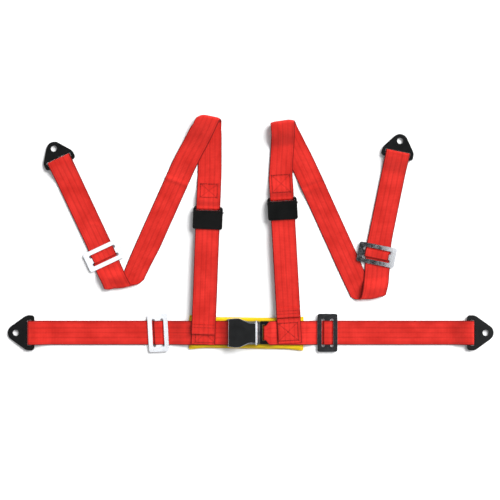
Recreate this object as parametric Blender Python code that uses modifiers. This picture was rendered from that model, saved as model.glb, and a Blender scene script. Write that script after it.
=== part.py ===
"""Four-point racing harness, laid flat: two lap belts with a lift-lever buckle, two shoulder belts.

Metres, +Z up. The harness lies on the plane z = 0 with the wearer's left lap belt to -X, the
shoulder belts to +Y, and the origin in the middle of its outline.  Every belt is 48 mm webbing.
A belt is an open strip along a formula, thickened; hardware is outlines, primitives and cuts.
"""

import math
from dataclasses import dataclass

import bmesh
import bpy
from mathutils import Matrix, Vector

NAME = "racing_harness"

GAP = 0.0003                 # between pieces that touch
WEB_WIDTH = 0.048
WEB_HALF = WEB_WIDTH / 2
WEB_THICK = 0.0014
PLY = WEB_THICK + GAP        # height of one layer of webbing on another
FLOOR_PLY = WEB_THICK / 2    # mid-height of webbing that lies on the floor
TOP_PLY = FLOOR_PLY + PLY    # mid-height of webbing over another layer

PAD_TOP = 0.006
PAD_PLY = PAD_TOP + GAP + WEB_THICK / 2
PAD_TOP_PLY = PAD_PLY + PLY

LAP_Y = -0.1970
CURL = 0.0040                # radius that a belt turns over with at a fold

# ------------------------------------------------------------------ driving layout


@dataclass(frozen=True)
class Fold:
    """Where a belt turns over: the middle of its turned edge, and how it lies there."""

    middle: tuple
    rises: bool              # the outgoing leg lies over the incoming one
    advance: float           # how far the belt travels along the edge inside the curl
    tilt: float              # slope added to the turned edge
    clear: float             # distance from the edge over which the upper leg stays up


@dataclass(frozen=True)
class Shoulder:
    """One shoulder belt: three straight legs between two folds, its adjuster and its ends."""

    side: str
    upright: tuple           # two points on the middle of the leg that comes off the lap belt
    leaning: tuple           # two points on the middle of the leg between the folds
    outer: tuple             # two points on the middle of the leg to the anchor
    top: Fold
    bottom: Fold
    adjuster: float          # Y of the adjuster's middle, on the upright leg
    slider: float            # Y of the slider's middle, on the outer leg
    anchor: float            # Y of the anchor's slot bar, on the outer leg
    tail_end: float          # Y of the free tail's hem
    lap_end: float           # Y of the end that is sewn on the lap belt


LEFT = Shoulder(
    side="left",
    upright=((-0.0910, -0.1564), (-0.0800, 0.1316)),
    leaning=((-0.1340, 0.1316), (-0.2200, -0.0604)),
    outer=((-0.3050, -0.0124), (-0.3650, 0.1156)),
    top=Fold(middle=(-0.0826, 0.2315), rises=True, advance=0.0, tilt=0.04, clear=0.092),
    bottom=Fold(middle=(-0.2382, -0.1002), rises=True, advance=0.0198, tilt=0.24, clear=0.050),
    adjuster=0.0318,
    slider=-0.0434,
    anchor=0.1400,
    tail_end=-0.1990,
    lap_end=-0.2194,
)
RIGHT = Shoulder(
    side="right",
    upright=((0.0750, -0.1404), (0.0600, 0.1316)),
    leaning=((0.1160, 0.1156), (0.1960, -0.0604)),
    outer=((0.2580, -0.0124), (0.2910, 0.1476)),
    top=Fold(middle=(0.0640, 0.2190), rises=False, advance=0.0, tilt=-0.10, clear=0.092),
    bottom=Fold(middle=(0.2263, -0.1262), rises=True, advance=0.0158, tilt=-0.08, clear=0.050),
    adjuster=0.0504,
    slider=-0.0418,
    anchor=0.1530,
    tail_end=-0.1656,
    lap_end=-0.2170,
)

# lap belts, along X
LEFT_ANCHOR_X = -0.4314
RIGHT_ANCHOR_X = 0.4342
LEFT_SLIDER_X = -0.1826
RIGHT_SLIDER_X = 0.1540
LEFT_SEAM = (-0.1130, -0.0620)     # where the left lap belt is doubled and sewn
RIGHT_SEAM = (0.0480, 0.1040)

# the anchor plate and the web loop round its bar, from the bar's axis outwards
BAR_WIDTH = 0.0056
PLATE_THICK = 0.0030
SLOT_END = 0.0146
SLOT_WIDTH = 0.0515
LOOP_INNER = 0.0037
LOOP_MID = LOOP_INNER + WEB_THICK / 2
LOOP_OUT = 0.0061
ANCHOR_AXIS_Z = LOOP_INNER + WEB_THICK
LOOP_RUN = 0.0370
BOLT_RADIUS = 0.00625
BOSS_RADIUS = 0.0130
BOSS_HEIGHT = 0.0004


@dataclass(frozen=True)
class Plate:
    """The sizes of an anchor plate that differ between lap and shoulder."""

    reach: float             # from the bar to the edge that rests on the floor
    width: float
    bolt: float              # from the bar to the bolt hole


LAP_PLATE = Plate(reach=0.0546, width=0.0700, bolt=0.0346)
SHOULDER_PLATE = Plate(reach=0.0494, width=0.0640, bolt=0.0324)

# the three-bar slider that lies on the belt
SLIDER_LONG = 0.0760
SLIDER_WIDE = 0.0400
SLIDER_THICK = 0.0020
SLIDER_Z = FLOOR_PLY + PLY + WEB_THICK / 2 + GAP
SLOT_MID = 0.0085
SLIDER_SLOT = (0.0060, 0.0560)

# the shoulder adjuster, in its own frame: x across the belt, y towards the shoulder
BODY_LONG = 0.0460
BODY_WIDE = 0.0590
BODY_FLOOR = PLY
BODY_PLATE = 0.0011
BODY_TOP = 0.0116
CHANNEL_HALF = 0.0246
LOOP_BAR_Y = 0.0192
LOOP_BAR_RADIUS = 0.0020
LOOP_BAR_Z = LOOP_BAR_RADIUS + GAP + WEB_THICK
LOCK_BAR_Y = 0.0102
LOCK_BAR_RADIUS = 0.0024
LOCK_BAR_Z = 0.0072
LOCK_TRAVEL = 0.0030
HOOK_RADIUS = 0.0034
COVER_THICK = 0.0015
TAIL_Z = 0.0124

# the buckle, in its own frame: x towards the tongue, z from the floor
BUCKLE_Y = -0.1965
BASE_TOP = 0.0176
BASE_FLOOR = 0.0081
BASE_BOTTOM = PAD_TOP + GAP
WEB_BAR = (-0.0400, 0.0100)
WEB_BAR_RADIUS = 0.0020
LEVER_AXIS = (0.0120, 0.0154)
PIN_RADIUS = 0.0025
BARREL_RADIUS = 0.0039
LEVER_Z = (0.0180, 0.0210)
PAWL_AXIS = (-0.0240, 0.0138)
PAWL_PIN_RADIUS = 0.0015
BLADE_Z = (0.0089, 0.0107)
BLADE_HALF = 0.0180
HEAD_Z = (0.0079, 0.0117)
HEAD_X = (0.0200, 0.0400)
TONGUE_BAR_X = 0.0300


# ------------------------------------------------------------------ scene helpers


def clear_scene():
    """Remove every object, so that the script starts from nothing."""
    for obj in list(bpy.data.objects):
        bpy.data.objects.remove(obj, do_unlink=True)


def collection(name):
    made = bpy.data.collections.new(name)
    bpy.context.scene.collection.children.link(made)
    return made


def material(name, color, roughness, metallic=0.0):
    """A plain Principled material."""
    made = bpy.data.materials.new(name)
    made.use_nodes = True
    shader = made.node_tree.nodes["Principled BSDF"]
    shader.inputs["Base Color"].default_value = (*color, 1.0)
    shader.inputs["Roughness"].default_value = roughness
    shader.inputs["Metallic"].default_value = metallic
    return made


def add_object(name, mesh, look=None, parent=None):
    """Link a mesh as a part, or as a cutter when it has no material."""
    obj = bpy.data.objects.new(name, mesh)
    if look is None:
        CUTTERS.objects.link(obj)
        obj.hide_render = True
        obj.display_type = "WIRE"
    else:
        PARTS.objects.link(obj)
        obj.data.materials.clear()
        obj.data.materials.append(MATERIALS[look])
    obj.parent = parent
    return obj


def frame_at(name, x, y, z=0.0, heading=0.0):
    """An empty that carries a group: local X points along the heading."""
    empty = bpy.data.objects.new(name, None)
    PARTS.objects.link(empty)
    empty.location = (x, y, z)
    empty.rotation_euler = (0.0, 0.0, heading)
    return empty


def box_mesh(name, low, high):
    """A box from its two corners."""
    mesh = bpy.data.meshes.new(name)
    work = bmesh.new()
    bmesh.ops.create_cube(work, size=1.0)
    size = Vector(high) - Vector(low)
    bmesh.ops.scale(work, vec=size, verts=work.verts)
    bmesh.ops.translate(work, vec=(Vector(high) + Vector(low)) / 2, verts=work.verts)
    work.to_mesh(mesh)
    work.free()
    return mesh


def cylinder_mesh(name, radius, start, end, sides=24):
    """A solid cylinder between two points."""
    start, end = Vector(start), Vector(end)
    mesh = bpy.data.meshes.new(name)
    work = bmesh.new()
    bmesh.ops.create_cone(
        work, cap_ends=True, segments=sides, radius1=radius, radius2=radius,
        depth=(end - start).length,
    )
    turn = Vector((0, 0, 1)).rotation_difference(end - start).to_matrix().to_4x4()
    bmesh.ops.transform(work, matrix=Matrix.Translation((start + end) / 2) @ turn, verts=work.verts)
    work.to_mesh(mesh)
    work.free()
    mesh.shade_smooth()
    mesh.set_sharp_from_angle(angle=math.radians(40))
    return mesh


def rounded(corners, steps=5):
    """An outline whose corners (x, y, radius) are replaced with arcs."""
    points = []
    count = len(corners)
    for i, (x, y, radius) in enumerate(corners):
        corner = Vector((x, y))
        if radius <= 0:
            points.append(corner)
            continue
        before = (Vector(corners[i - 1][:2]) - corner).normalized()
        after = (Vector(corners[(i + 1) % count][:2]) - corner).normalized()
        half = before.angle(after) / 2
        reach = radius / math.tan(half)
        centre = corner + (before + after).normalized() * radius / math.sin(half)
        first = corner + before * reach - centre
        turn = (corner + after * reach - centre).angle_signed(first)
        for k in range(steps + 1):
            c, s = math.cos(turn * k / steps), math.sin(turn * k / steps)
            points.append(centre + Vector((first.x * c - first.y * s, first.x * s + first.y * c)))
    return points


def rectangle(x0, x1, half, radius):
    """Corners of a rectangle that is symmetric about y = 0."""
    return [(x0, -half, radius), (x1, -half, radius), (x1, half, radius), (x0, half, radius)]


def slab_mesh(name, outlines, bottom, top):
    """A flat piece with the given outlines, made from a filled curve."""
    curve = bpy.data.curves.new(name, "CURVE")
    curve.dimensions = "2D"
    curve.fill_mode = "BOTH"
    curve.extrude = (top - bottom) / 2
    for outline in outlines:
        spline = curve.splines.new("POLY")
        spline.points.add(len(outline) - 1)
        for point, place in zip(spline.points, outline):
            point.co = (place.x, place.y, 0.0, 1.0)
        spline.use_cyclic_u = True
    holder = bpy.data.objects.new(name, curve)
    bpy.context.scene.collection.objects.link(holder)
    graph = bpy.context.evaluated_depsgraph_get()
    mesh = bpy.data.meshes.new_from_object(holder.evaluated_get(graph))
    bpy.data.objects.remove(holder)
    work = bmesh.new()
    work.from_mesh(mesh)
    bmesh.ops.remove_doubles(work, verts=work.verts, dist=0.00001)
    bmesh.ops.translate(work, vec=(0, 0, (bottom + top) / 2), verts=work.verts)
    work.to_mesh(mesh)
    work.free()
    mesh.shade_smooth()
    mesh.set_sharp_from_angle(angle=math.radians(30))
    return mesh


def boolean(obj, mesh, operation="DIFFERENCE"):
    """Cut a mesh from an object, or join it on; the mesh is in the object's own frame."""
    tool = add_object(f"{obj.name}_{operation.lower()}_{len(obj.modifiers)}", mesh)
    tool.parent = obj
    step = obj.modifiers.new(tool.name, "BOOLEAN")
    step.operation = operation
    step.solver = "EXACT"
    step.object = tool
    return step


def chamfer(obj, width):
    """Break the sharp edges."""
    step = obj.modifiers.new("edges", "BEVEL")
    step.width = width
    step.segments = 1
    step.limit_method = "ANGLE"
    step.angle_limit = math.radians(40)


# ------------------------------------------------------------------ webbing


def strip(name, rows, look="webbing_red", parent=None):
    """Webbing through rows of its two edges: an open strip, thickened both ways."""
    mesh = bpy.data.meshes.new(name)
    points = list(rows[0])
    for one, other in rows[1:]:
        crossed = (one - other).dot(points[-2] - points[-1]) < 0
        points += (other, one) if crossed else (one, other)
    faces = [(2 * i, 2 * i + 1, 2 * i + 3, 2 * i + 2) for i in range(len(rows) - 1)]
    mesh.from_pydata([tuple(p) for p in points], [], faces)
    mesh.shade_smooth()
    obj = add_object(name, mesh, look, parent)
    skin = obj.modifiers.new("thickness", "SOLIDIFY")
    skin.thickness = WEB_THICK
    skin.offset = 0.0
    skin.use_even_offset = True
    return obj


def side_rows(path, half=WEB_HALF, middle=0.0):
    """Rows for a belt that runs along local X: path is (x, z) or (x, z, half width)."""
    rows = []
    for step in path:
        wide = step[2] if len(step) > 2 else half
        rows.append((
            Vector((step[0], middle - wide, step[1])),
            Vector((step[0], middle + wide, step[1])),
        ))
    return rows


def arc(x, z, radius, start, end, steps=8):
    """Points of an arc in the XZ plane, angles in degrees from +X towards +Z."""
    points = []
    for k in range(steps + 1):
        angle = math.radians(start + (end - start) * k / steps)
        points.append((x + radius * math.cos(angle), z + radius * math.sin(angle)))
    return points


def ease(t):
    """A smooth step from 0 to 1."""
    t = min(max(t, 0.0), 1.0)
    return t * t * (3 - 2 * t)


def climb(x0, z0, x1, z1, steps=6):
    """Points of a smooth rise from one height to another."""
    return [
        (x0 + (x1 - x0) * k / steps, z0 + (z1 - z0) * ease(k / steps))
        for k in range(steps + 1)
    ]


class TurnedBelt:
    """The shape of a belt at one fold, as a function of the distance past the fold's edge."""

    def __init__(self, fold, incoming, outgoing):
        self.fold = fold
        self.middle = Vector(fold.middle)
        self.ahead = (Vector(incoming[1]) - Vector(incoming[0])).normalized()
        self.back = (Vector(outgoing[1]) - Vector(outgoing[0])).normalized()
        self.across = Vector((self.ahead.y, -self.ahead.x))
        self.edge = (self.ahead + self.back).normalized()
        self.out = Vector((self.edge.y, -self.edge.x))
        if self.out.dot(self.ahead) < 0:
            self.out = -self.out
        self.wrap = math.pi * CURL
        slope = self.ahead.dot(self.edge) / self.ahead.dot(self.out)
        travel = math.copysign(fold.advance, slope)
        self.advance = travel
        self.across_back = self.across - 2 * self.across.dot(self.out) * self.out
        leaves = self.middle + self.edge * (self.wrap * slope + travel)
        self.shift_in = (Vector(incoming[0]) - self.middle).dot(self.across)
        self.shift_out = (Vector(outgoing[0]) - leaves).dot(self.across_back)

    def lean(self, distance):
        """How much of the fold's own position is left at a distance from its edge."""
        return 1.0 - ease((distance - 0.012) / 0.100)

    def lift(self, distance, upper, settle):
        """Height of a leg over the floor layer at a distance from the edge."""
        if not upper:
            return 0.0
        crest = 2 * CURL
        if distance < self.fold.clear - 0.022:
            return crest + (PLY - crest) * ease(distance / (self.fold.clear - 0.022))
        if distance < self.fold.clear or settle > 0:
            return PLY
        return PLY * (1.0 - ease((distance - self.fold.clear) / 0.030))

    def point(self, past, w, settle=0.0):
        """The belt's middle surface, past the edge by a distance, w across from its middle."""
        along = (past - w * self.across.dot(self.out)) / self.ahead.dot(self.out)
        t = along * self.ahead.dot(self.edge) + w * self.across.dot(self.edge)
        if past <= 0:
            away = -past
            flat = self.middle + self.edge * t + self.out * past
            flat = flat + self.across * self.shift_in * (1 - self.lean(away))
            z = self.lift(away, not self.fold.rises, settle)
        elif past < self.wrap:
            turn = past / CURL
            away = 0.0
            flat = self.middle + self.edge * (t + self.advance * turn / math.pi)
            flat = flat + self.out * CURL * math.sin(turn)
            share = (1 - math.cos(turn)) / 2
            z = 2 * CURL * (share if self.fold.rises else 1 - share)
        else:
            away = past - self.wrap
            flat = self.middle + self.edge * (t + self.advance) - self.out * away
            flat = flat + self.across_back * self.shift_out * (1 - self.lean(away))
            z = self.lift(away, self.fold.rises, settle)
        slope = self.fold.tilt * (flat.x - self.middle.x) * (1 - ease(away / 0.080))
        return Vector((flat.x, flat.y + slope, FLOOR_PLY + z))

    def row(self, past, settle=0.0):
        return (self.point(past, -WEB_HALF, settle), self.point(past, WEB_HALF, settle))


def spread(start, end, count):
    """Evenly spaced values, both ends included."""
    return [start + (end - start) * k / (count - 1) for k in range(count)]


def on_line(line, y):
    """The point on a line at a height y."""
    (x0, y0), (x1, y1) = line
    return Vector((x0 + (x1 - x0) * (y - y0) / (y1 - y0), y))


def heading_of(line):
    (x0, y0), (x1, y1) = line
    return math.atan2(y1 - y0, x1 - x0)


def leg_rows(line, heights):
    """Rows across a straight leg at (Y, height) pairs, in order."""
    direction = (Vector(line[1]) - Vector(line[0])).normalized()
    across = Vector((direction.y, -direction.x))
    rows = []
    for y, z in heights:
        middle = on_line(line, y)
        left, right = middle - across * WEB_HALF, middle + across * WEB_HALF
        rows.append((Vector((left.x, left.y, z)), Vector((right.x, right.y, z))))
    return rows


# ------------------------------------------------------------------ hardware


def anchor(prefix, place, size):
    """Floor anchor: a plate with a bolt hole and a slot bar, hinged in the belt's end loop."""
    sink = math.atan2(ANCHOR_AXIS_Z - PLATE_THICK / 2, size.reach)
    outline = rounded([
        (-BAR_WIDTH / 2, -size.width / 2, 0.0060),
        (0.0130, -size.width / 2, 0.0160),
        (size.reach + 0.0080, 0.0, 0.0160),
        (0.0130, size.width / 2, 0.0160),
        (-BAR_WIDTH / 2, size.width / 2, 0.0060),
    ])
    half = PLATE_THICK / 2
    plate = add_object(
        f"{prefix}_anchor", slab_mesh("plate", [outline], -half, half), "black_steel", place
    )
    plate.rotation_euler = (0.0, sink, 0.0)
    boolean(plate, cylinder_mesh(
        "boss", BOSS_RADIUS, (size.bolt, 0, 0), (size.bolt, 0, half + BOSS_HEIGHT), 32), "UNION")
    boolean(plate, cylinder_mesh(
        "bolt", BOLT_RADIUS, (size.bolt, 0, -0.01), (size.bolt, 0, 0.01), 32))
    slot = rounded(rectangle(BAR_WIDTH / 2, SLOT_END, SLOT_WIDTH / 2, 0.0025), 3)
    boolean(plate, slab_mesh("slot", [slot], -0.01, 0.01))
    return plate


def anchor_loop(prefix, place):
    """The belt's end round the anchor's bar: down off the upper layer, round, and back under."""
    over = climb(-LOOP_RUN, TOP_PLY - ANCHOR_AXIS_Z, 0.0, LOOP_MID)
    turn = arc(LOOP_OUT, 0.0, LOOP_MID, 90, -90, 10)
    under = [(0.0, -LOOP_MID), (-LOOP_RUN, -LOOP_MID)]
    strip(f"{prefix}_anchor_loop", side_rows(over + turn + under), parent=place)


def slider(prefix, place):
    """Three-bar slider on the belt, and the belt's hump over its middle bar."""
    outline = rounded(rectangle(-SLIDER_WIDE / 2, SLIDER_WIDE / 2, SLIDER_LONG / 2, 0.0045), 4)
    frame = slab_mesh("frame", [outline], SLIDER_Z, SLIDER_Z + SLIDER_THICK)
    body = add_object(f"{prefix}_slider", frame, "chrome", place)
    wide, long = SLIDER_SLOT
    for side in (-1, 1):
        x = side * SLOT_MID
        hole = rounded(rectangle(x - wide / 2, x + wide / 2, long / 2, wide * 0.45), 4)
        boolean(body, slab_mesh("slot", [hole], 0.0, 0.02))
    chamfer(body, 0.0005)
    radius = 0.0013
    low = SLIDER_Z + 0.0002
    crest = SLIDER_Z + SLIDER_THICK + GAP + WEB_THICK / 2
    reach = 0.0070
    path = [(-reach, low)] + arc(-reach + radius, crest - radius, radius, 180, 90, 4)
    path += arc(reach - radius, crest - radius, radius, 90, 0, 4) + [(reach, low)]
    strip(f"{prefix}_slider_hump", side_rows(path), parent=place)


def adjuster(side, place, tail_length):
    """Shoulder adjuster: moulded body, cover, loop bar and a sliding locking bar."""
    outline = rounded([
        (-BODY_WIDE / 2, -BODY_LONG / 2, 0.0040),
        (BODY_WIDE / 2, -BODY_LONG / 2, 0.0040),
        (BODY_WIDE / 2, BODY_LONG / 2, 0.0070),
        (-BODY_WIDE / 2, BODY_LONG / 2, 0.0070),
    ], 4)
    frame = slab_mesh("frame", [outline], BODY_FLOOR, BODY_TOP)
    body = add_object(f"{side}_adjuster_frame", frame, "black_plastic", place)
    end = BODY_LONG / 2 + 0.005
    plate_top = BODY_FLOOR + BODY_PLATE
    boolean(body, box_mesh("channel", (-CHANNEL_HALF, -end, plate_top), (CHANNEL_HALF, end, 0.03)))
    boolean(body, box_mesh("window", (-CHANNEL_HALF, 0.0080, -0.01), (CHANNEL_HALF, end, 0.03)))
    bore = LOOP_BAR_RADIUS + GAP
    wall = BODY_WIDE / 2
    boolean(body, cylinder_mesh(
        "bore", bore, (-wall - 0.01, LOOP_BAR_Y, LOOP_BAR_Z), (wall + 0.01, LOOP_BAR_Y, LOOP_BAR_Z)))
    half_run = LOCK_BAR_RADIUS + GAP
    run = rounded([
        (LOCK_BAR_Y - LOCK_TRAVEL - half_run, LOCK_BAR_Z - half_run, half_run * 0.98),
        (LOCK_BAR_Y + half_run, LOCK_BAR_Z - half_run, half_run * 0.98),
        (LOCK_BAR_Y + half_run, LOCK_BAR_Z + half_run, half_run * 0.98),
        (LOCK_BAR_Y - LOCK_TRAVEL - half_run, LOCK_BAR_Z + half_run, half_run * 0.98),
    ], 4)
    track = boolean(body, slab_mesh("track", [run], -0.05, 0.05)).object
    track.matrix_local = Matrix(((0, 0, 1, 0), (1, 0, 0, 0), (0, 1, 0, 0), (0, 0, 0, 1)))

    lid = rounded([
        (-BODY_WIDE / 2, -BODY_LONG / 2, 0.0040),
        (BODY_WIDE / 2, -BODY_LONG / 2, 0.0040),
        (BODY_WIDE / 2, 0.0140, 0.0020),
        (-BODY_WIDE / 2, 0.0140, 0.0020),
    ], 4)
    lid_low = BODY_TOP + GAP
    cover = add_object(
        f"{side}_adjuster_cover",
        slab_mesh("cover", [lid], lid_low, lid_low + COVER_THICK), "black_plastic", place)
    chamfer(cover, 0.0005)

    add_object(f"{side}_adjuster_loop_bar", cylinder_mesh(
        "bar", LOOP_BAR_RADIUS, (-wall + 0.001, LOOP_BAR_Y, LOOP_BAR_Z),
        (wall - 0.001, LOOP_BAR_Y, LOOP_BAR_Z), 16), "steel", place)
    lock = add_object(f"{side}_locking_bar", cylinder_mesh(
        "lock", LOCK_BAR_RADIUS, (-wall - 0.0015, 0, 0), (wall + 0.0015, 0, 0), 20), "steel", place)
    lock.location = (0.0, LOCK_BAR_Y, LOCK_BAR_Z)

    # along local Y: the belt is drawn along X and turned a quarter
    loop_frame = frame_at(f"{side}_loop_frame", 0, 0, 0, math.radians(90))
    loop_frame.parent = place
    loop_mid = LOOP_BAR_RADIUS + GAP + WEB_THICK / 2
    over = climb(0.0640, TOP_PLY, LOOP_BAR_Y, LOOP_BAR_Z + loop_mid)
    turn = arc(LOOP_BAR_Y, LOOP_BAR_Z, loop_mid, 90, 270, 8)[1:]
    strip(f"{side}_adjuster_loop", side_rows(over + turn + [(0.0640, FLOOR_PLY)]), parent=loop_frame)

    hook = [(-0.0200, LOCK_BAR_Z - HOOK_RADIUS)]
    hook += arc(LOCK_BAR_Y, LOCK_BAR_Z, HOOK_RADIUS, -90, 90, 8)
    hook += climb(-0.0230, LOCK_BAR_Z + HOOK_RADIUS, -0.0700, TAIL_Z)
    hook += [(-tail_length, TAIL_Z)]
    strip(f"{side}_tail", side_rows(hook), parent=loop_frame)


def shoulder_belt(belt):
    """One shoulder belt with its folds, adjuster, slider and anchor."""
    side = belt.side
    up = belt.upright
    top = TurnedBelt(belt.top, up, belt.leaning)
    bottom = TurnedBelt(belt.bottom, belt.leaning, belt.outer)
    before, after = 0.014, top.wrap + 0.014

    rise = math.sin(heading_of(up))
    sewn_top = belt.adjuster + 0.0643 * rise
    if belt.top.rises:
        heights = climb(sewn_top, TOP_PLY, sewn_top + 0.022, FLOOR_PLY, 4)
        nearest, settle = -0.100, 0.0
    else:
        heights = [(sewn_top, TOP_PLY)]
        nearest, settle = -0.098, 1.0
    rows = leg_rows(up, heights)
    rows += [top.row(past, settle) for past in spread(nearest, -before - GAP, 14)]
    strip(f"{side}_shoulder_upright", rows)

    turn = spread(-before, 0.0, 4) + spread(0.0, top.wrap, 11)[1:] + spread(top.wrap, after, 4)[1:]
    strip(f"{side}_top_fold", [top.row(past) for past in turn])

    rows = [top.row(past) for past in spread(after + GAP, top.wrap + 0.125, 14)]
    rows += [bottom.row(past) for past in spread(-0.110, -before - GAP, 8)]
    strip(f"{side}_shoulder_leaning", rows)

    strip(f"{side}_bottom_fold", [bottom.row(past, 1.0) for past in turn])

    line = belt.outer
    heading = heading_of(line)
    bar = on_line(line, belt.anchor)
    loop_start = bar - Vector((math.cos(heading), math.sin(heading))) * (LOOP_RUN + GAP)
    rows = [bottom.row(past, 1.0) for past in spread(after + GAP, bottom.wrap + 0.120, 12)]
    rows += leg_rows(line, [(loop_start.y, TOP_PLY)])
    strip(f"{side}_shoulder_outer", rows)

    slide_at = on_line(line, belt.slider)
    rows = leg_rows(line, [(belt.slider + 0.004, FLOOR_PLY), (loop_start.y, FLOOR_PLY)])
    strip(f"{side}_shoulder_return", rows)

    place = frame_at(f"{side}_shoulder_slider_frame", slide_at.x, slide_at.y, 0.0, heading)
    slider(f"{side}_shoulder", place)
    place = frame_at(f"{side}_shoulder_anchor_frame", bar.x, bar.y, ANCHOR_AXIS_Z, heading)
    anchor(f"{side}_shoulder", place, SHOULDER_PLATE)
    anchor_loop(f"{side}_shoulder", place)

    centre = on_line(up, belt.adjuster)
    place = frame_at(
        f"{side}_adjuster_place", centre.x, centre.y, 0.0, heading_of(up) - math.radians(90))
    adjuster(side, place, (belt.adjuster - belt.tail_end) / rise)

    low_end = belt.adjuster - 0.016 * rise
    lap_edge = LAP_Y + WEB_HALF
    sewn = PAD_TOP_PLY + PLY
    path = [(low_end, FLOOR_PLY)]
    path += climb(-0.1230, FLOOR_PLY, lap_edge + 0.0140, PAD_PLY + 0.0004, 6)
    path += climb(lap_edge + 0.0140, PAD_PLY + 0.0004, lap_edge + 0.0030, sewn, 5)[1:]
    path += [(belt.lap_end, sewn)]
    strip(f"{side}_shoulder_lower", leg_rows(up, path))


def left_lap():
    """Left lap belt: from its anchor, over the pad's edge, round the buckle's web bar."""
    bar = WEB_BAR_RADIUS + GAP + WEB_THICK / 2
    x, z = WEB_BAR
    path = [(LEFT_ANCHOR_X + LOOP_RUN + GAP, TOP_PLY)]
    path += climb(-0.1600, TOP_PLY, -0.1290, PAD_PLY + 0.0002, 6)
    path += climb(-0.1290, PAD_PLY + 0.0002, LEFT_SEAM[0] - 0.002, PAD_TOP_PLY, 3)[1:]
    path += [(LEFT_SEAM[1] - GAP, PAD_TOP_PLY)]
    strip("left_lap_web", side_rows(path, middle=LAP_Y))
    loop = climb(LEFT_SEAM[1], PAD_TOP_PLY, x, z + bar, 6)
    loop += arc(x, z, bar, 90, -90, 8)[1:]
    loop += [(LEFT_SEAM[0], PAD_PLY)]
    strip("left_lap_buckle_loop", side_rows(loop, middle=LAP_Y))
    rows = side_rows(
        [(LEFT_ANCHOR_X + LOOP_RUN + GAP, FLOOR_PLY), (LEFT_SLIDER_X - 0.004, FLOOR_PLY)],
        middle=LAP_Y)
    strip("left_lap_return", rows)
    place = frame_at("left_lap_anchor_frame", LEFT_ANCHOR_X, LAP_Y, ANCHOR_AXIS_Z, math.pi)
    anchor("left_lap", place, LAP_PLATE)
    anchor_loop("left_lap", place)
    place = frame_at("left_lap_slider_frame", LEFT_SLIDER_X, LAP_Y, 0.0, math.radians(183))
    slider("left_lap", place)


def right_lap():
    """Right lap belt: from its anchor, over the pad's edge, round the tongue's bar."""
    radius = 0.00215 + WEB_THICK / 2
    z = (HEAD_Z[0] + HEAD_Z[1]) / 2
    narrow = 0.0145
    path = [(RIGHT_ANCHOR_X - LOOP_RUN - GAP, TOP_PLY)]
    path += climb(0.1330, TOP_PLY, 0.1125, PAD_PLY + 0.0002, 6)
    path += climb(0.1125, PAD_PLY + 0.0002, RIGHT_SEAM[1], PAD_TOP_PLY, 3)[1:]
    path += [(RIGHT_SEAM[0] + 0.0060, PAD_TOP_PLY)]
    strip("right_lap_web", side_rows(path, middle=LAP_Y))
    start = RIGHT_SEAM[0] + 0.0060 - GAP
    rise = climb(start, PAD_TOP_PLY, HEAD_X[1] + 0.0012, z + radius, 6)
    level = [(x, z + radius) for x in spread(HEAD_X[1], TONGUE_BAR_X, 5)]
    loop = [
        (x, z_at, WEB_HALF + (narrow - WEB_HALF) * ease((HEAD_X[1] - x) / 0.0100))
        for x, z_at in rise + level
    ]
    loop += [(x, z_at, narrow) for x, z_at in arc(TONGUE_BAR_X, z, radius, 90, 270, 8)[1:]]
    loop += [(0.0400, z - radius, narrow), (0.0500, z - radius), (RIGHT_SEAM[1], z - radius)]
    strip("right_lap_tongue_loop", side_rows(loop, middle=LAP_Y))
    rows = side_rows(
        [(RIGHT_ANCHOR_X - LOOP_RUN - GAP, FLOOR_PLY), (RIGHT_SLIDER_X + 0.004, FLOOR_PLY)],
        middle=LAP_Y)
    strip("right_lap_return", rows)
    place = frame_at("right_lap_anchor_frame", RIGHT_ANCHOR_X, LAP_Y, ANCHOR_AXIS_Z, 0.0)
    anchor("right_lap", place, LAP_PLATE)
    anchor_loop("right_lap", place)
    place = frame_at("right_lap_slider_frame", RIGHT_SLIDER_X, LAP_Y, 0.0, 0.0)
    slider("right_lap", place)


def pad():
    """The comfort pad behind the buckle: a sewn cover with a turning slit, and its foam."""
    half_x, half_y = 0.1175, 0.0355
    place = frame_at("pad_frame", -0.0075, -0.1975, 0.0, math.radians(-0.8))
    outline = rounded([
        (-half_x, -half_y, 0.004), (half_x, -half_y, 0.004),
        (half_x, half_y, 0.004), (-half_x, half_y, 0.004)], 3)
    cover = add_object("pad_cover", slab_mesh("cover", [outline], 0.0, PAD_TOP), "pad_yellow", place)
    chamfer(cover, 0.0016)
    cloth = 0.0007
    inner = (half_x - 0.003, half_y - 0.003, PAD_TOP - cloth)
    boolean(cover, box_mesh("hollow", (-inner[0], -inner[1], cloth), inner))
    boolean(cover, box_mesh("slit", (-0.040, -0.0012, -0.01), (0.040, 0.0012, 0.003)))
    low = (-inner[0] + GAP, -inner[1] + GAP, cloth + GAP)
    high = (inner[0] - GAP, inner[1] - GAP, inner[2] - GAP)
    add_object("pad_foam", box_mesh("foam", low, high), "foam", place)


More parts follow.
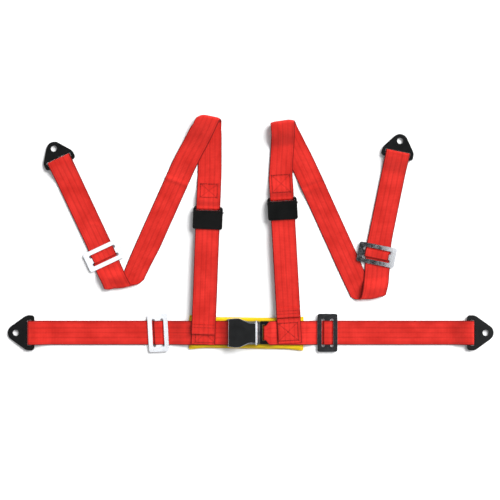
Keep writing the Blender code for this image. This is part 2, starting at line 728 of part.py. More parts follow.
def buckle():
    """Lift-lever buckle: channel base, web bar, lever on a sprung pin, and a latch pawl."""
    place = frame_at("buckle_frame", 0.0, BUCKLE_Y, 0.0)
    ends = (-0.0455, 0.0196)
    wide, slim, wall = 0.0272, 0.0228, 0.0022
    corners = [(ends[0], -wide), (-0.0240, -wide), (-0.0040, -slim), (ends[1], -slim)]
    outline = rounded([(x, y, 0.0015) for x, y in corners]
                      + [(x, -y, 0.0015) for x, y in reversed(corners)], 2)
    base = add_object(
        "buckle_base", slab_mesh("base", [outline], BASE_BOTTOM, BASE_TOP), "steel", place)
    inner = [(ends[0] - 0.01, -wide + wall), (-0.0235, -wide + wall),
             (-0.0035, -slim + wall), (ends[1] + 0.01, -slim + wall)]
    hollow = rounded([(x, y, 0) for x, y in inner] + [(x, -y, 0) for x, y in reversed(inner)])
    boolean(base, slab_mesh("hollow", [hollow], BASE_FLOOR, 0.05))
    boolean(base, box_mesh("web_way", (-0.06, -wide + wall, 0.0), (-0.0300, wide - wall, 0.05)))
    for name, (x, z), radius in (
        ("pin_bore", LEVER_AXIS, PIN_RADIUS),
        ("pawl_bore", PAWL_AXIS, PAWL_PIN_RADIUS),
        ("bar_bore", WEB_BAR, WEB_BAR_RADIUS),
    ):
        boolean(base, cylinder_mesh(name, radius + GAP, (x, -0.05, z), (x, 0.05, z), 20))

    x, z = WEB_BAR
    add_object("buckle_web_bar", cylinder_mesh(
        "bar", WEB_BAR_RADIUS, (x, -wide - 0.0004, z), (x, wide + 0.0004, z), 16), "steel", place)
    x, z = LEVER_AXIS
    add_object("lever_pin", cylinder_mesh(
        "pin", PIN_RADIUS, (x, -slim - 0.0010, z), (x, slim + 0.0010, z), 20), "chrome", place)
    x, z = PAWL_AXIS
    add_object("pawl_pin", cylinder_mesh(
        "pin", PAWL_PIN_RADIUS, (x, -wide - 0.0004, z), (x, wide + 0.0004, z), 12), "steel", place)
    lever_spring(place)
    lever(place)
    pawl(place)


def lever_spring(place):
    """Torsion spring round the lever's pin, in a gap of the lever's barrel."""
    wire, turns, steps = 0.00045, 3.5, 14
    radius = PIN_RADIUS + GAP + wire
    pitch = 0.0017
    curve = bpy.data.curves.new("spring", "CURVE")
    curve.dimensions = "3D"
    curve.bevel_depth = wire
    curve.bevel_resolution = 1
    curve.use_fill_caps = True
    spline = curve.splines.new("POLY")
    count = int(turns * steps) + 1
    spline.points.add(count - 1)
    for k, point in enumerate(spline.points):
        angle = 2 * math.pi * k / steps
        y = pitch * (k / steps - turns / 2)
        point.co = (radius * math.cos(angle), y, radius * math.sin(angle), 1.0)
    spring = bpy.data.objects.new("lever_spring", curve)
    PARTS.objects.link(spring)
    curve.materials.append(MATERIALS["steel"])
    spring.parent = place
    spring.location = (LEVER_AXIS[0], 0.0, LEVER_AXIS[1])


def lever_inset(left, right, wide, slim):
    """The lever's outline drawn smaller, for the inlay and its pocket."""
    axis_x = LEVER_AXIS[0]
    corners = [(left, -wide + 0.0015, 0.0020), (-0.0310 - axis_x, -wide, 0.0120),
               (-0.0215 - axis_x, -wide, 0.0080), (-0.0025 - axis_x, -slim, 0.0080),
               (right, -slim, 0.0010)]
    return rounded(corners + [(x, -y, r) for x, y, r in reversed(corners)], 4)


def lever(place):
    """The lift lever: a flared plate on a barrel, with an inlay; its origin is on its pin."""
    axis_x, axis_z = LEVER_AXIS
    low, high = LEVER_Z[0] - axis_z, LEVER_Z[1] - axis_z
    left, right = -0.0430 - axis_x, 0.0028
    wide, slim = 0.0290, 0.0200
    corners = [(left, -wide + 0.0015, 0.0030), (-0.0310 - axis_x, -wide, 0.0150),
               (-0.0210 - axis_x, -wide, 0.0100), (-0.0020 - axis_x, -slim, 0.0100),
               (right, -slim, 0.0008)]
    outline = rounded(corners + [(x, -y, r) for x, y, r in reversed(corners)], 4)
    shell = add_object("lever", slab_mesh("lever", [outline], low, high), "chrome", place)
    shell.location = (axis_x, 0.0, axis_z)
    barrel_half, spring_half = 0.0198, 0.0042
    boolean(shell, cylinder_mesh(
        "barrel", BARREL_RADIUS, (0, -barrel_half, 0), (0, barrel_half, 0), 32), "UNION")
    rib = box_mesh("rib", (-0.0036, -barrel_half + 0.0003, 0.0), (0.0024, barrel_half - 0.0003, 0.004))
    boolean(shell, rib, "UNION")
    boolean(shell, cylinder_mesh("bore", PIN_RADIUS + GAP, (0, -0.05, 0), (0, 0.05, 0), 20))
    boolean(shell, cylinder_mesh(
        "spring_gap", 0.0042, (0, -spring_half, 0), (0, spring_half, 0), 28))
    pocket, insert = (
        lever_inset(left + inset, right - 0.0013 - inset, wide - inset, slim - inset)
        for inset in (0.0022, 0.0022 + 1.5 * GAP)
    )
    boolean(shell, slab_mesh("pocket", [pocket], high - 0.0013, high + 0.01))
    cover = add_object(
        "lever_inlay", slab_mesh("inlay", [insert], high - 0.0010, high + 0.0001), "black_plastic", place)
    cover.location = shell.location


def pawl(place):
    """The latch pawl that drops behind the tongue's window; its origin is on its pin."""
    axis_x, axis_z = PAWL_AXIS
    body = add_object("latch_pawl", box_mesh(
        "plate", (-0.0005, -0.0150, -0.0010), (0.0200, 0.0150, 0.0010)), "steel", place)
    body.location = (axis_x, 0.0, axis_z)
    boolean(body, cylinder_mesh("boss", 0.0025, (0, -0.0148, 0), (0, 0.0148, 0), 20), "UNION")
    tooth = BLADE_Z[1] + GAP - axis_z
    boolean(body, box_mesh("tooth", (0.0140, -0.0080, tooth), (0.0198, 0.0080, 0.0005)), "UNION")
    boolean(body, cylinder_mesh("bore", PAWL_PIN_RADIUS + GAP, (0, -0.05, 0), (0, 0.05, 0), 16))


def tongue():
    """The tongue: a steel blade with a latch window and a web slot, in a moulded head."""
    place = frame_at("tongue_frame", 0.0, BUCKLE_Y, 0.0)
    tip, root = -0.0180, 0.0392
    corners = [(tip, -0.0120, 0.003), (tip + 0.008, -BLADE_HALF, 0.003), (0.0192, -BLADE_HALF, 0),
               (0.0215, -0.0218, 0.001), (root, -0.0218, 0.003)]
    outline = rounded(corners + [(x, -y, r) for x, y, r in reversed(corners)], 3)
    blade = add_object("tongue_plate", slab_mesh("blade", [outline], *BLADE_Z), "steel", place)
    window = rounded(rectangle(-0.0120, -0.0030, 0.0095, 0.001), 2)
    boolean(blade, slab_mesh("window", [window], 0.0, 0.03))
    slot = rounded(rectangle(0.0246, 0.0310, 0.0160, 0.0012), 2)
    boolean(blade, slab_mesh("slot", [slot], 0.0, 0.03))

    head_corners = [(HEAD_X[0], -0.0230, 0.002), (HEAD_X[1], -0.0230, 0.003),
                    (HEAD_X[1], 0.0230, 0.003), (HEAD_X[0], 0.0230, 0.002)]
    head = add_object(
        "tongue_head", slab_mesh("head", [rounded(head_corners, 3)], *HEAD_Z), "black_plastic", place)
    boolean(head, box_mesh(
        "blade_room", (0.0, -0.0218 - GAP, BLADE_Z[0] - GAP),
        (root + GAP, 0.0218 + GAP, BLADE_Z[1] + GAP)))
    opening = rounded(rectangle(0.0239, TONGUE_BAR_X + 0.0002, 0.0166, 0.0012), 2)
    boolean(head, slab_mesh("slot", [opening], 0.0, 0.03))


# ------------------------------------------------------------------ build

clear_scene()
PARTS = collection(NAME)
CUTTERS = collection(f"{NAME}_cutters")
MATERIALS = {
    "webbing_red": material("webbing_red", (0.62, 0.035, 0.025), 0.75),
    "pad_yellow": material("pad_yellow", (0.75, 0.50, 0.02), 0.85),
    "foam": material("foam", (0.55, 0.53, 0.45), 0.95),
    "black_steel": material("black_steel", (0.02, 0.02, 0.022), 0.40, 0.2),
    "chrome": material("chrome", (0.75, 0.76, 0.78), 0.12, 1.0),
    "steel": material("steel", (0.55, 0.55, 0.56), 0.35, 1.0),
    "black_plastic": material("black_plastic", (0.02, 0.02, 0.02), 0.45),
}

pad()
left_lap()
right_lap()
buckle()
tongue()
for shoulder in (LEFT, RIGHT):
    shoulder_belt(shoulder)
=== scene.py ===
"""Finished four-point racing harness, laid flat: woven belts, lift-lever buckle, adjusters and pad.

Metres, +Z up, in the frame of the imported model: the wearer's left lap belt runs to -X, the shoulder
belts run to +Y.  Every belt is one ribbon of 48 mm webbing that follows rows of its two edges.
"""

import logging
import math
from dataclasses import dataclass, field
from enum import Enum
import bmesh
import bpy
from mathutils import Matrix, Vector, noise
from mathutils.bvhtree import BVHTree


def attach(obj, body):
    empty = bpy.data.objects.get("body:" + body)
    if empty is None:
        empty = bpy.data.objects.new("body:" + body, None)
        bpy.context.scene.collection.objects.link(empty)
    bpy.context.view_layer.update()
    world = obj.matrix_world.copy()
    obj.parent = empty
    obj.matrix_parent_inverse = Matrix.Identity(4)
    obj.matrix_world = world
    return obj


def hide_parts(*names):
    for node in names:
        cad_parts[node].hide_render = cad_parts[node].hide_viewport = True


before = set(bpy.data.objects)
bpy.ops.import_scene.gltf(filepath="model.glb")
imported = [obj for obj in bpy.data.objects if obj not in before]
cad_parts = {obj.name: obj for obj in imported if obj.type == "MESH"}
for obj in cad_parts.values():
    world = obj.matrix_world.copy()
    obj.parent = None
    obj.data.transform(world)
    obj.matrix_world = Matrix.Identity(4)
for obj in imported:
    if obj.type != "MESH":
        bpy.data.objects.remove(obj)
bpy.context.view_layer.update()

log = logging.getLogger("harness")

GAP = 0.0003                     # clearance between pieces that touch
WEB_WIDTH = 0.048
WEB_HALF = WEB_WIDTH / 2
WEB_THICK = 0.0014
PLY = WEB_THICK + GAP            # height of one layer of webbing on another
FLOOR_PLY = WEB_THICK / 2        # mid-height of webbing that lies on the floor
TOP_PLY = FLOOR_PLY + PLY
PAD_TOP = 0.006
PAD_PLY = PAD_TOP + GAP + WEB_THICK / 2
PAD_TOP_PLY = PAD_PLY + PLY
SEWN_PLY = PAD_TOP_PLY + PLY     # a shoulder belt's end on the doubled lap belt
LAP_Y = -0.1970
CURL = 0.0040                    # radius that a belt turns over with at a fold
LEAN_START = 0.012               # a folded belt starts to come back to its own line from here,
LEAN_RUN = 0.100                 # over this distance
SETTLE_RUN = 0.030               # an upper leg comes down from one layer over this distance
TILT_RUN = 0.080                 # a turned edge's slope dies out over this distance
CORNER_START = 0.45              # a turned edge draws in past this share of its half length,
CORNER_SHARE = 0.30              # by its whole corner value where this is reached,
CORNER_DEPTH = 0.016             # and this far back from the edge
NEAR_FOLD = 0.014                # length of belt beside a fold that is built with short steps
LOOP_BAR = (0.0192, 0.0037)      # an adjuster's loop bar: distance up the belt, and height
LOCK_BAR = (0.0102, 0.0072)      # its locking bar
SEAM_TOP = 0.0640                # where an adjuster's loop has come back onto the belt
LAP_PLATE = {"reach": 0.0546, "width": 0.0700, "bolt_reach": 0.0346}

Row = tuple[Vector, Vector]


class Body(Enum):
    """The moving bodies that pieces ride on."""

    LAP_LEFT = "lap_left"
    LAP_RIGHT = "lap_right"
    LEVER = "lever"


class Held(Enum):
    """How a sheet of webbing is held."""

    LAID = "laid"
    FOLDED = "folded"


class Cut(Enum):
    """What a tool shape does to the shape that it meets."""

    AWAY = "DIFFERENCE"
    JOIN = "UNION"


# ------------------------------------------------------------------ nodes and finishes


def linear(code: str) -> tuple[float, float, float, float]:
    """Turn an sRGB hex colour into linear RGBA.

    Args:
        code: Six hex digits, with or without a leading #.

    Returns:
        Linear red, green, blue and an alpha of 1.
    """
    digits = code.lstrip("#")
    parts = [int(digits[i:i + 2], 16) / 255 for i in (0, 2, 4)]
    red, green, blue = (
        part / 12.92 if part <= 0.04045 else ((part + 0.055) / 1.055) ** 2.4 for part in parts
    )
    return (red, green, blue, 1.0)


def add_node(
    tree: bpy.types.NodeTree,
    kind: str,
    settings: dict | None = None,
    sockets: dict | None = None,
) -> bpy.types.Node:
    """Add one node with its settings and its inputs.

    Args:
        tree: The node tree.
        kind: The node's type name.
        settings: Values for the node's own properties.
        sockets: Input name or number to a constant, or to the output socket it is linked from.

    Returns:
        The new node.
    """
    node = tree.nodes.new(kind)
    for name, value in (settings or {}).items():
        setattr(node, name, value)
    for key, value in (sockets or {}).items():
        if isinstance(value, bpy.types.NodeSocket):
            tree.links.new(value, node.inputs[key])
        else:
            node.inputs[key].default_value = value
    return node


@dataclass(frozen=True)
class Finish:
    """A surface finish; make() builds its material once and keeps it by name."""

    name: str
    colour: str
    shade: str
    roughness: float
    metallic: float = 0.0
    sheen: float = 0.0
    shine: float = 0.5            # how strongly the surface mirrors light at all
    grain_mm: float = 1.0
    grain_depth: float = 0.1

    def make(self) -> bpy.types.Material:
        """Return the material, built on its first use."""
        known = bpy.data.materials.get(self.name)
        if known is not None:
            return known
        made = bpy.data.materials.new(self.name)
        made.use_nodes = True
        tree = made.node_tree
        shader = tree.nodes["Principled BSDF"]
        shader.inputs["Metallic"].default_value = self.metallic
        shader.inputs["Roughness"].default_value = self.roughness
        shader.inputs["Specular IOR Level"].default_value = self.shine
        if self.sheen:
            shader.inputs["Sheen Weight"].default_value = self.sheen
            shader.inputs["Sheen Roughness"].default_value = 0.45
        self.dress(tree, shader)
        return made

    def dress(self, tree: bpy.types.NodeTree, shader: bpy.types.Node) -> None:
        """Add the finish's own pattern to the shader.

        Args:
            tree: The material's node tree.
            shader: Its Principled shader.
        """
        place = add_node(tree, "ShaderNodeTexCoord").outputs["Object"]
        self.mottle(tree, shader, place, 18.0, 0.06)
        self.grain(tree, shader, place)

    def mottle(
        self,
        tree: bpy.types.NodeTree,
        shader: bpy.types.Node,
        place: bpy.types.NodeSocket,
        size_mm: float,
        polish: float,
    ) -> bpy.types.NodeSocket:
        """Blend the two colours in soft patches, and let the roughness follow them.

        Args:
            tree: The material's node tree.
            shader: Its Principled shader.
            place: Coordinates in metres.
            size_mm: Size of a patch.
            polish: How much the roughness goes up and down.

        Returns:
            The socket with the blended colour.
        """
        patch = add_node(tree, "ShaderNodeTexNoise", None, {
            "Vector": place, "Scale": 1000.0 / size_mm, "Detail": 4.0, "Roughness": 0.6})
        spread = add_node(tree, "ShaderNodeMapRange", None, {
            "Value": patch.outputs[0], "From Min": 0.35, "From Max": 0.65})
        tone = add_node(tree, "ShaderNodeMix", {"data_type": "RGBA"}, {
            0: spread.outputs[0], 6: linear(self.shade), 7: linear(self.colour)})
        tree.links.new(tone.outputs[2], shader.inputs["Base Color"])
        gloss = add_node(tree, "ShaderNodeMapRange", None, {
            "Value": patch.outputs[0], "From Min": 0.3, "From Max": 0.7,
            "To Min": self.roughness - polish, "To Max": self.roughness + polish})
        tree.links.new(gloss.outputs[0], shader.inputs["Roughness"])
        return tone.outputs[2]

    def grain(
        self,
        tree: bpy.types.NodeTree,
        shader: bpy.types.Node,
        place: bpy.types.NodeSocket,
    ) -> None:
        """Raise a fine even grain over the surface.

        Args:
            tree: The material's node tree.
            shader: Its Principled shader.
            place: Coordinates in metres.
        """
        texture = add_node(tree, "ShaderNodeTexNoise", None, {
            "Vector": place, "Scale": 1000.0 / self.grain_mm, "Detail": 3.0})
        bump = add_node(tree, "ShaderNodeBump", None, {
            "Strength": self.grain_depth, "Distance": 0.0003, "Height": texture.outputs[0]})
        tree.links.new(bump.outputs[0], shader.inputs["Normal"])


@dataclass(frozen=True)
class WovenWebbing(Finish):
    """Woven polyester webbing: lengthwise ribs, a fine weft, and painted shade in the grooves and
    along the edges.
    """

    # painted shade: the deep red that the grooves and the edges are darkened towards
    groove: str = "#6E0A08"
    ribs: int = 5
    weft_mm: float = 3.0          # real weft is about 1 mm; drawn coarser so that it shows

    def dress(self, tree: bpy.types.NodeTree, shader: bpy.types.Node) -> None:
        """Draw ribs, weft, and painted shade in the grooves and along the edges, on the belt's own
        map, in metres across and along.

        Args:
            tree: The material's node tree.
            shader: Its Principled shader.
        """
        cloth = add_node(tree, "ShaderNodeUVMap", {"uv_map": "Cloth"}).outputs[0]
        parts = add_node(tree, "ShaderNodeSeparateXYZ", None, {0: cloth}).outputs

        def math_node(operation: str, first, second=0.0) -> bpy.types.NodeSocket:
            """One sum of the pattern."""
            return add_node(
                tree, "ShaderNodeMath", {"operation": operation}, {0: first, 1: second}
            ).outputs[0]

        across, along = parts[0], parts[1]
        wide = math_node("ABSOLUTE", across)
        turn = math_node("MULTIPLY", across, 2 * math.pi * self.ribs / WEB_WIDTH)
        wave = math_node("COSINE", turn)
        # groove mask: shapes the rib bumps, and paints shade into the grooves
        groove = math_node("POWER", math_node("MAXIMUM", wave, 0.0), 1.6)
        slant = math_node("MULTIPLY", math_node("ABSOLUTE", math_node("SINE", turn)), 0.9)
        step = math_node("ADD", math_node("MULTIPLY", along, 2000 * math.pi / self.weft_mm), slant)
        weft = math_node("MULTIPLY", math_node("SINE", step), 0.5)
        # edge mask: paints shade along both edges of the belt
        edge = add_node(tree, "ShaderNodeMapRange", None, {
            "Value": wide, "From Min": WEB_HALF - 0.0026, "From Max": WEB_HALF - 0.0010}).outputs[0]
        place = add_node(tree, "ShaderNodeTexCoord").outputs["Object"]
        base = self.mottle(tree, shader, place, 34.0, 0.05)
        fibre = add_node(tree, "ShaderNodeTexNoise", None, {
            "Vector": cloth, "Scale": 900.0, "Detail": 2.0}).outputs[0]
        drawn = add_node(tree, "ShaderNodeMapping", None, {
            "Vector": cloth, "Scale": (420.0, 9.0, 1.0)}).outputs[0]
        streak = add_node(tree, "ShaderNodeTexNoise", None, {
            "Vector": drawn, "Scale": 1.0, "Detail": 2.0}).outputs[0]
        # painted shade in the grooves and along the edges; streak, weft and fibre below add random
        # tone
        dark = math_node(
            "ADD", math_node("MULTIPLY", groove, 0.20), math_node("MULTIPLY", edge, 0.95))
        dark = math_node(
            "ADD", dark, math_node("MULTIPLY", math_node("SUBTRACT", streak, 0.5), 0.50))
        dark = math_node("ADD", dark, math_node("MULTIPLY", math_node("ADD", weft, 0.5), 0.12))
        dark = math_node(
            "ADD", dark, math_node("MULTIPLY", math_node("SUBTRACT", fibre, 0.5), 0.35))
        tone = add_node(tree, "ShaderNodeMix", {"data_type": "RGBA", "clamp_factor": True}, {
            0: dark, 6: base, 7: linear(self.groove)})
        tree.links.new(tone.outputs[2], shader.inputs["Base Color"])
        height = math_node(
            "ADD", math_node("MULTIPLY", weft, 0.5), math_node("MULTIPLY", fibre, 0.4))
        height = math_node("SUBTRACT", height, math_node("MULTIPLY", groove, 0.6))
        bump = add_node(tree, "ShaderNodeBump", None, {
            "Strength": 0.35, "Distance": 0.0004, "Height": height})
        tree.links.new(bump.outputs[0], shader.inputs["Normal"])


@dataclass(frozen=True)
class PadCloth(Finish):
    """Plain-woven nylon over foam: a fine square weave with soft patches."""

    weave_mm: float = 1.6         # real threads are about 0.4 mm; drawn coarser so that they show

    def dress(self, tree: bpy.types.NodeTree, shader: bpy.types.Node) -> None:
        """Draw the weave on the piece's own position.

        Args:
            tree: The material's node tree.
            shader: Its Principled shader.
        """
        place = add_node(tree, "ShaderNodeTexCoord").outputs["Object"]
        self.mottle(tree, shader, place, 26.0, 0.05)
        turned = [
            add_node(tree, "ShaderNodeTexWave", {"bands_direction": axis}, {
                "Vector": place, "Scale": 1000.0 / self.weave_mm / 6.28, "Distortion": 0.6})
            for axis in ("X", "Y")
        ]
        woven = add_node(tree, "ShaderNodeMath", {"operation": "ADD"}, {
            0: turned[0].outputs["Fac"], 1: turned[1].outputs["Fac"]})
        bump = add_node(tree, "ShaderNodeBump", None, {
            "Strength": self.grain_depth, "Distance": 0.0003, "Height": woven.outputs[0]})
        tree.links.new(bump.outputs[0], shader.inputs["Normal"])


@dataclass(frozen=True)
class PlatedMetal(Finish):
    """Plated steel: soft polish marks that run one way, and patches of duller plating."""

    brush: tuple[float, float, float] = (60.0, 900.0, 900.0)

    def dress(self, tree: bpy.types.NodeTree, shader: bpy.types.Node) -> None:
        """Draw the polish marks and patches.

        Args:
            tree: The material's node tree.
            shader: Its Principled shader.
        """
        place = add_node(tree, "ShaderNodeTexCoord").outputs["Object"]
        self.mottle(tree, shader, place, 9.0, min(self.roughness * 0.4, 0.06))
        stretched = add_node(
            tree, "ShaderNodeMapping", None, {"Vector": place, "Scale": self.brush})
        marks = add_node(tree, "ShaderNodeTexNoise", None, {
            "Vector": stretched.outputs[0], "Scale": 1.0, "Detail": 2.0})
        bump = add_node(tree, "ShaderNodeBump", None, {
            "Strength": self.grain_depth, "Distance": 0.0002, "Height": marks.outputs[0]})
        tree.links.new(bump.outputs[0], shader.inputs["Normal"])


# Woven polyester: bright red with softer patches and streaks, painted shade of deep red in the
# grooves and along the edges, and little gloss.
WEBBING = WovenWebbing("woven_polyester_webbing", "#D12D25", "#BA2119", 0.60, shine=0.32)
# Bonded polyester thread: the belt's red, a tone darker, with a little gloss.
THREAD = Finish("bonded_polyester_thread", "#7E120E", "#650C09", 0.60, grain_mm=0.6)
# Nylon cloth over foam: warm yellow and matt.
PAD_CLOTH = PadCloth(
    "woven_nylon_pad_cloth", "#DAB810", "#CEAB0C", 0.78, sheen=0.2, grain_depth=0.35)
PAD_THREAD = Finish("nylon_pad_thread", "#D2A714", "#BD9410", 0.6, grain_mm=0.6)
# Bright chrome plating over polished steel: mirror-like with faint polishing marks.
CHROME = PlatedMetal("chrome_plated_steel", "#D6D8DC", "#C2C5CA", 0.10, 1.0, grain_depth=0.05)
# Zinc plating over pressed steel: greyer and duller than chrome.
ZINC = PlatedMetal("zinc_plated_steel", "#B4B5B6", "#8F9092", 0.32, 1.0, grain_depth=0.12)
# Powder coat baked on steel: near black, satin, with a fine pebbled skin.
POWDER = Finish(
    "powder_coated_steel", "#0D0E0F", "#070808", 0.42, shine=0.4, grain_mm=1.4, grain_depth=0.25)
# Glass-filled nylon from a spark-eroded mould: black with an even fine grain.
NYLON = Finish(
    "moulded_nylon", "#080909", "#040505", 0.34, shine=0.35, grain_mm=1.0, grain_depth=0.30)
# Soft-touch insert in the lever: charcoal with a coarser grain.
INLAY = Finish("moulded_grip_insert", "#141516", "#090A0B", 0.46, grain_mm=1.8, grain_depth=0.55)


# ------------------------------------------------------------------ shapes


def ease(t: float) -> float:
    """A smooth step from 0 to 1."""
    t = min(max(t, 0.0), 1.0)
    return t * t * (3 - 2 * t)


def spread(start: float, end: float, count: int) -> list[float]:
    """Evenly spaced values, both ends included."""
    return [start + (end - start) * k / (count - 1) for k in range(count)]


def climb(x0: float, z0: float, x1: float, z1: float, steps: int = 14) -> list[tuple[float, float]]:
    """Points of a smooth rise from one height to another.

    Args:
        x0: Where it starts.
        z0: Its height there.
        x1: Where it ends.
        z1: Its height there.
        steps: How many pieces it is drawn in.

    Returns:
        Places along the rise, each with its height.
    """
    return [
        (x0 + (x1 - x0) * k / steps, z0 + (z1 - z0) * ease(k / steps)) for k in range(steps + 1)
    ]


def arc(
    x: float, z: float, radius: float, start: float, end: float, steps: int = 16
) -> list[tuple[float, float]]:
    """Points of an arc in a belt's own lengthwise plane.

    Args:
        x: Centre along the belt.
        z: Centre's height.
        radius: Radius in metres.
        start: First angle in degrees, from along the belt towards up.
        end: Last angle.
        steps: How many pieces it is drawn in.

    Returns:
        Places along the belt, each with its height.
    """
    angles = [math.radians(start + (end - start) * k / steps) for k in range(steps + 1)]
    return [(x + radius * math.cos(a), z + radius * math.sin(a)) for a in angles]


def on_line(line: tuple, y: float) -> Vector:
    """The point on a line at a height y."""
    (x0, y0), (x1, y1) = line
    return Vector((x0 + (x1 - x0) * (y - y0) / (y1 - y0), y))


def heading_of(line: tuple) -> float:
    """The angle of a line from +X."""
    (x0, y0), (x1, y1) = line
    return math.atan2(y1 - y0, x1 - x0)


@dataclass(frozen=True)
class Place:
    """A spot that a group of pieces is laid out from; its own x points along the heading."""

    x: float
    y: float
    z: float = 0.0
    heading: float = 0.0

    def matrix(self) -> Matrix:
        """The place as a matrix."""
        return Matrix.Translation((self.x, self.y, self.z)) @ Matrix.Rotation(self.heading, 4, "Z")

    def rows(self, path: list[tuple]) -> list[Row]:
        """Rows of a belt that runs along the heading.

        Args:
            path: Distances along, each with a height and maybe a half width.

        Returns:
            The belt's two edges at each step.
        """
        turned = self.matrix()
        made = []
        for along, height, *wide in path:
            half = wide[0] if wide else WEB_HALF
            made.append((
                turned @ Vector((along, -half, height)), turned @ Vector((along, half, height))
            ))
        return made


def rounded(corners: list[tuple], steps: int = 8) -> list[Vector]:
    """An outline whose corners are replaced with arcs.

    Args:
        corners: Each corner's x, y and radius.
        steps: How many pieces an arc is drawn in.

    Returns:
        The outline's points, in order.
    """
    points = []
    count = len(corners)
    for i, (x, y, radius) in enumerate(corners):
        corner = Vector((x, y))
        if radius <= 0:
            points.append(corner)
            continue
        before = (Vector(corners[i - 1][:2]) - corner).normalized()
        after = (Vector(corners[(i + 1) % count][:2]) - corner).normalized()
        half = before.angle(after) / 2
        reach = radius / math.tan(half)
        centre = corner + (before + after).normalized() * radius / math.sin(half)
        first = corner + before * reach - centre
        turn = (corner + after * reach - centre).angle_signed(first)
        for k in range(steps + 1):
            c, s = math.cos(turn * k / steps), math.sin(turn * k / steps)
            points.append(centre + Vector((first.x * c - first.y * s, first.x * s + first.y * c)))
    return points


def mirrored(corners: list[tuple]) -> list[tuple]:
    """The corners, then the same ones across the middle line in reverse order."""
    return corners + [(x, -y, radius) for x, y, radius in reversed(corners)]


def rectangle(x0: float, x1: float, half: float, radius: float) -> list[tuple]:
    """Corners of a rectangle that is symmetric about y = 0."""
    return [(x0, -half, radius), (x1, -half, radius), (x1, half, radius), (x0, half, radius)]


def bare(mesh: bpy.types.Mesh) -> bpy.types.Object:
    """A passing object that holds a mesh while modifiers work on it."""
    obj = bpy.data.objects.new("workpiece", mesh)
    bpy.context.scene.collection.objects.link(obj)
    return obj


def settle(obj: bpy.types.Object) -> bpy.types.Mesh:
    """Take an object's shape with its modifiers as a plain mesh, and drop the object.

    Args:
        obj: A passing object.

    Returns:
        The finished mesh.
    """
    graph = bpy.context.evaluated_depsgraph_get()
    mesh = bpy.data.meshes.new_from_object(obj.evaluated_get(graph))
    bpy.data.objects.remove(obj)
    return mesh


def plate(outlines: list[list[Vector]], low: float, high: float, edge: float) -> bpy.types.Mesh:
    """A flat piece with softened edges.

    Args:
        outlines: The outer outline, then any holes.
        low: Height of its underside.
        high: Height of its top.
        edge: Radius of the softened edges, or 0.

    Returns:
        A closed mesh.
    """
    curve = bpy.data.curves.new("plate", "CURVE")
    curve.dimensions = "2D"
    curve.fill_mode = "BOTH"
    curve.extrude = (high - low) / 2
    for outline in outlines:
        spline = curve.splines.new("POLY")
        spline.points.add(len(outline) - 1)
        for point, place in zip(spline.points, outline):
            point.co = (place.x, place.y, 0.0, 1.0)
        spline.use_cyclic_u = True
    holder = bpy.data.objects.new("plate", curve)
    bpy.context.scene.collection.objects.link(holder)
    mesh = settle(holder)
    work = bmesh.new()
    work.from_mesh(mesh)
    bmesh.ops.remove_doubles(work, verts=work.verts, dist=0.00001)
    bmesh.ops.translate(work, vec=(0, 0, (low + high) / 2), verts=work.verts)
    bmesh.ops.dissolve_limit(
        work, angle_limit=math.radians(0.5), verts=work.verts, edges=work.edges)
    bmesh.ops.recalc_face_normals(work, faces=work.faces)
    work.to_mesh(mesh)
    work.free()
    return soften(mesh, edge) if edge else mesh


def soften(
    mesh: bpy.types.Mesh, width: float, segments: int = 3, angle: float = 50
) -> bpy.types.Mesh:
    """Round a mesh's sharp edges.

    Args:
        mesh: A closed mesh.
        width: How far the rounding reaches.
        segments: How many pieces the rounding is drawn in.
        angle: Edges sharper than this many degrees are rounded.

    Returns:
        The rounded mesh.
    """
    obj = bare(mesh)
    step = obj.modifiers.new("edges", "BEVEL")
    step.width = width
    step.segments = segments
    step.limit_method = "ANGLE"
    step.angle_limit = math.radians(angle)
    return settle(obj)


def rod(
    radius: float, start: tuple, end: tuple, sides: int = 40, edge: float = 0.0
) -> bpy.types.Mesh:
    """A round bar between two points.

    Args:
        radius: Radius in metres.
        start: One end.
        end: The other end.
        sides: How many sides it is drawn with.
        edge: Radius of its softened ends, or 0.

    Returns:
        A closed mesh.
    """
    one, other = Vector(start), Vector(end)
    mesh = bpy.data.meshes.new("rod")
    work = bmesh.new()
    bmesh.ops.create_cone(
        work, cap_ends=True, segments=sides, radius1=radius, radius2=radius,
        depth=(other - one).length)
    turn = Vector((0, 0, 1)).rotation_difference(other - one).to_matrix().to_4x4()
    bmesh.ops.transform(work, matrix=Matrix.Translation((one + other) / 2) @ turn, verts=work.verts)
    work.to_mesh(mesh)
    work.free()
    return soften(mesh, edge) if edge else mesh


def block(low: tuple, high: tuple) -> bpy.types.Mesh:
    """A box from its two corners, used as a cutting tool or before rounding."""
    mesh = bpy.data.meshes.new("block")
    work = bmesh.new()
    bmesh.ops.create_cube(work, size=1.0)
    bmesh.ops.scale(work, vec=Vector(high) - Vector(low), verts=work.verts)
    bmesh.ops.translate(work, vec=(Vector(high) + Vector(low)) / 2, verts=work.verts)
    work.to_mesh(mesh)
    work.free()
    return mesh


def worked(mesh: bpy.types.Mesh, *steps: tuple[Cut, bpy.types.Mesh]) -> bpy.types.Mesh:
    """Cut tools out of a mesh, or join them on, in order.

    Args:
        mesh: The closed mesh to start from.
        steps: What to do, and the tool's closed mesh.

    Returns:
        The resulting mesh.
    """
    obj = bare(mesh)
    tools = []
    for how, tool_mesh in steps:
        tool = bare(tool_mesh)
        tools.append(tool)
        step = obj.modifiers.new("cut", "BOOLEAN")
        step.operation = how.value
        step.solver = "EXACT"
        step.object = tool
    made = settle(obj)
    for tool in tools:
        bpy.data.objects.remove(tool)
    return made


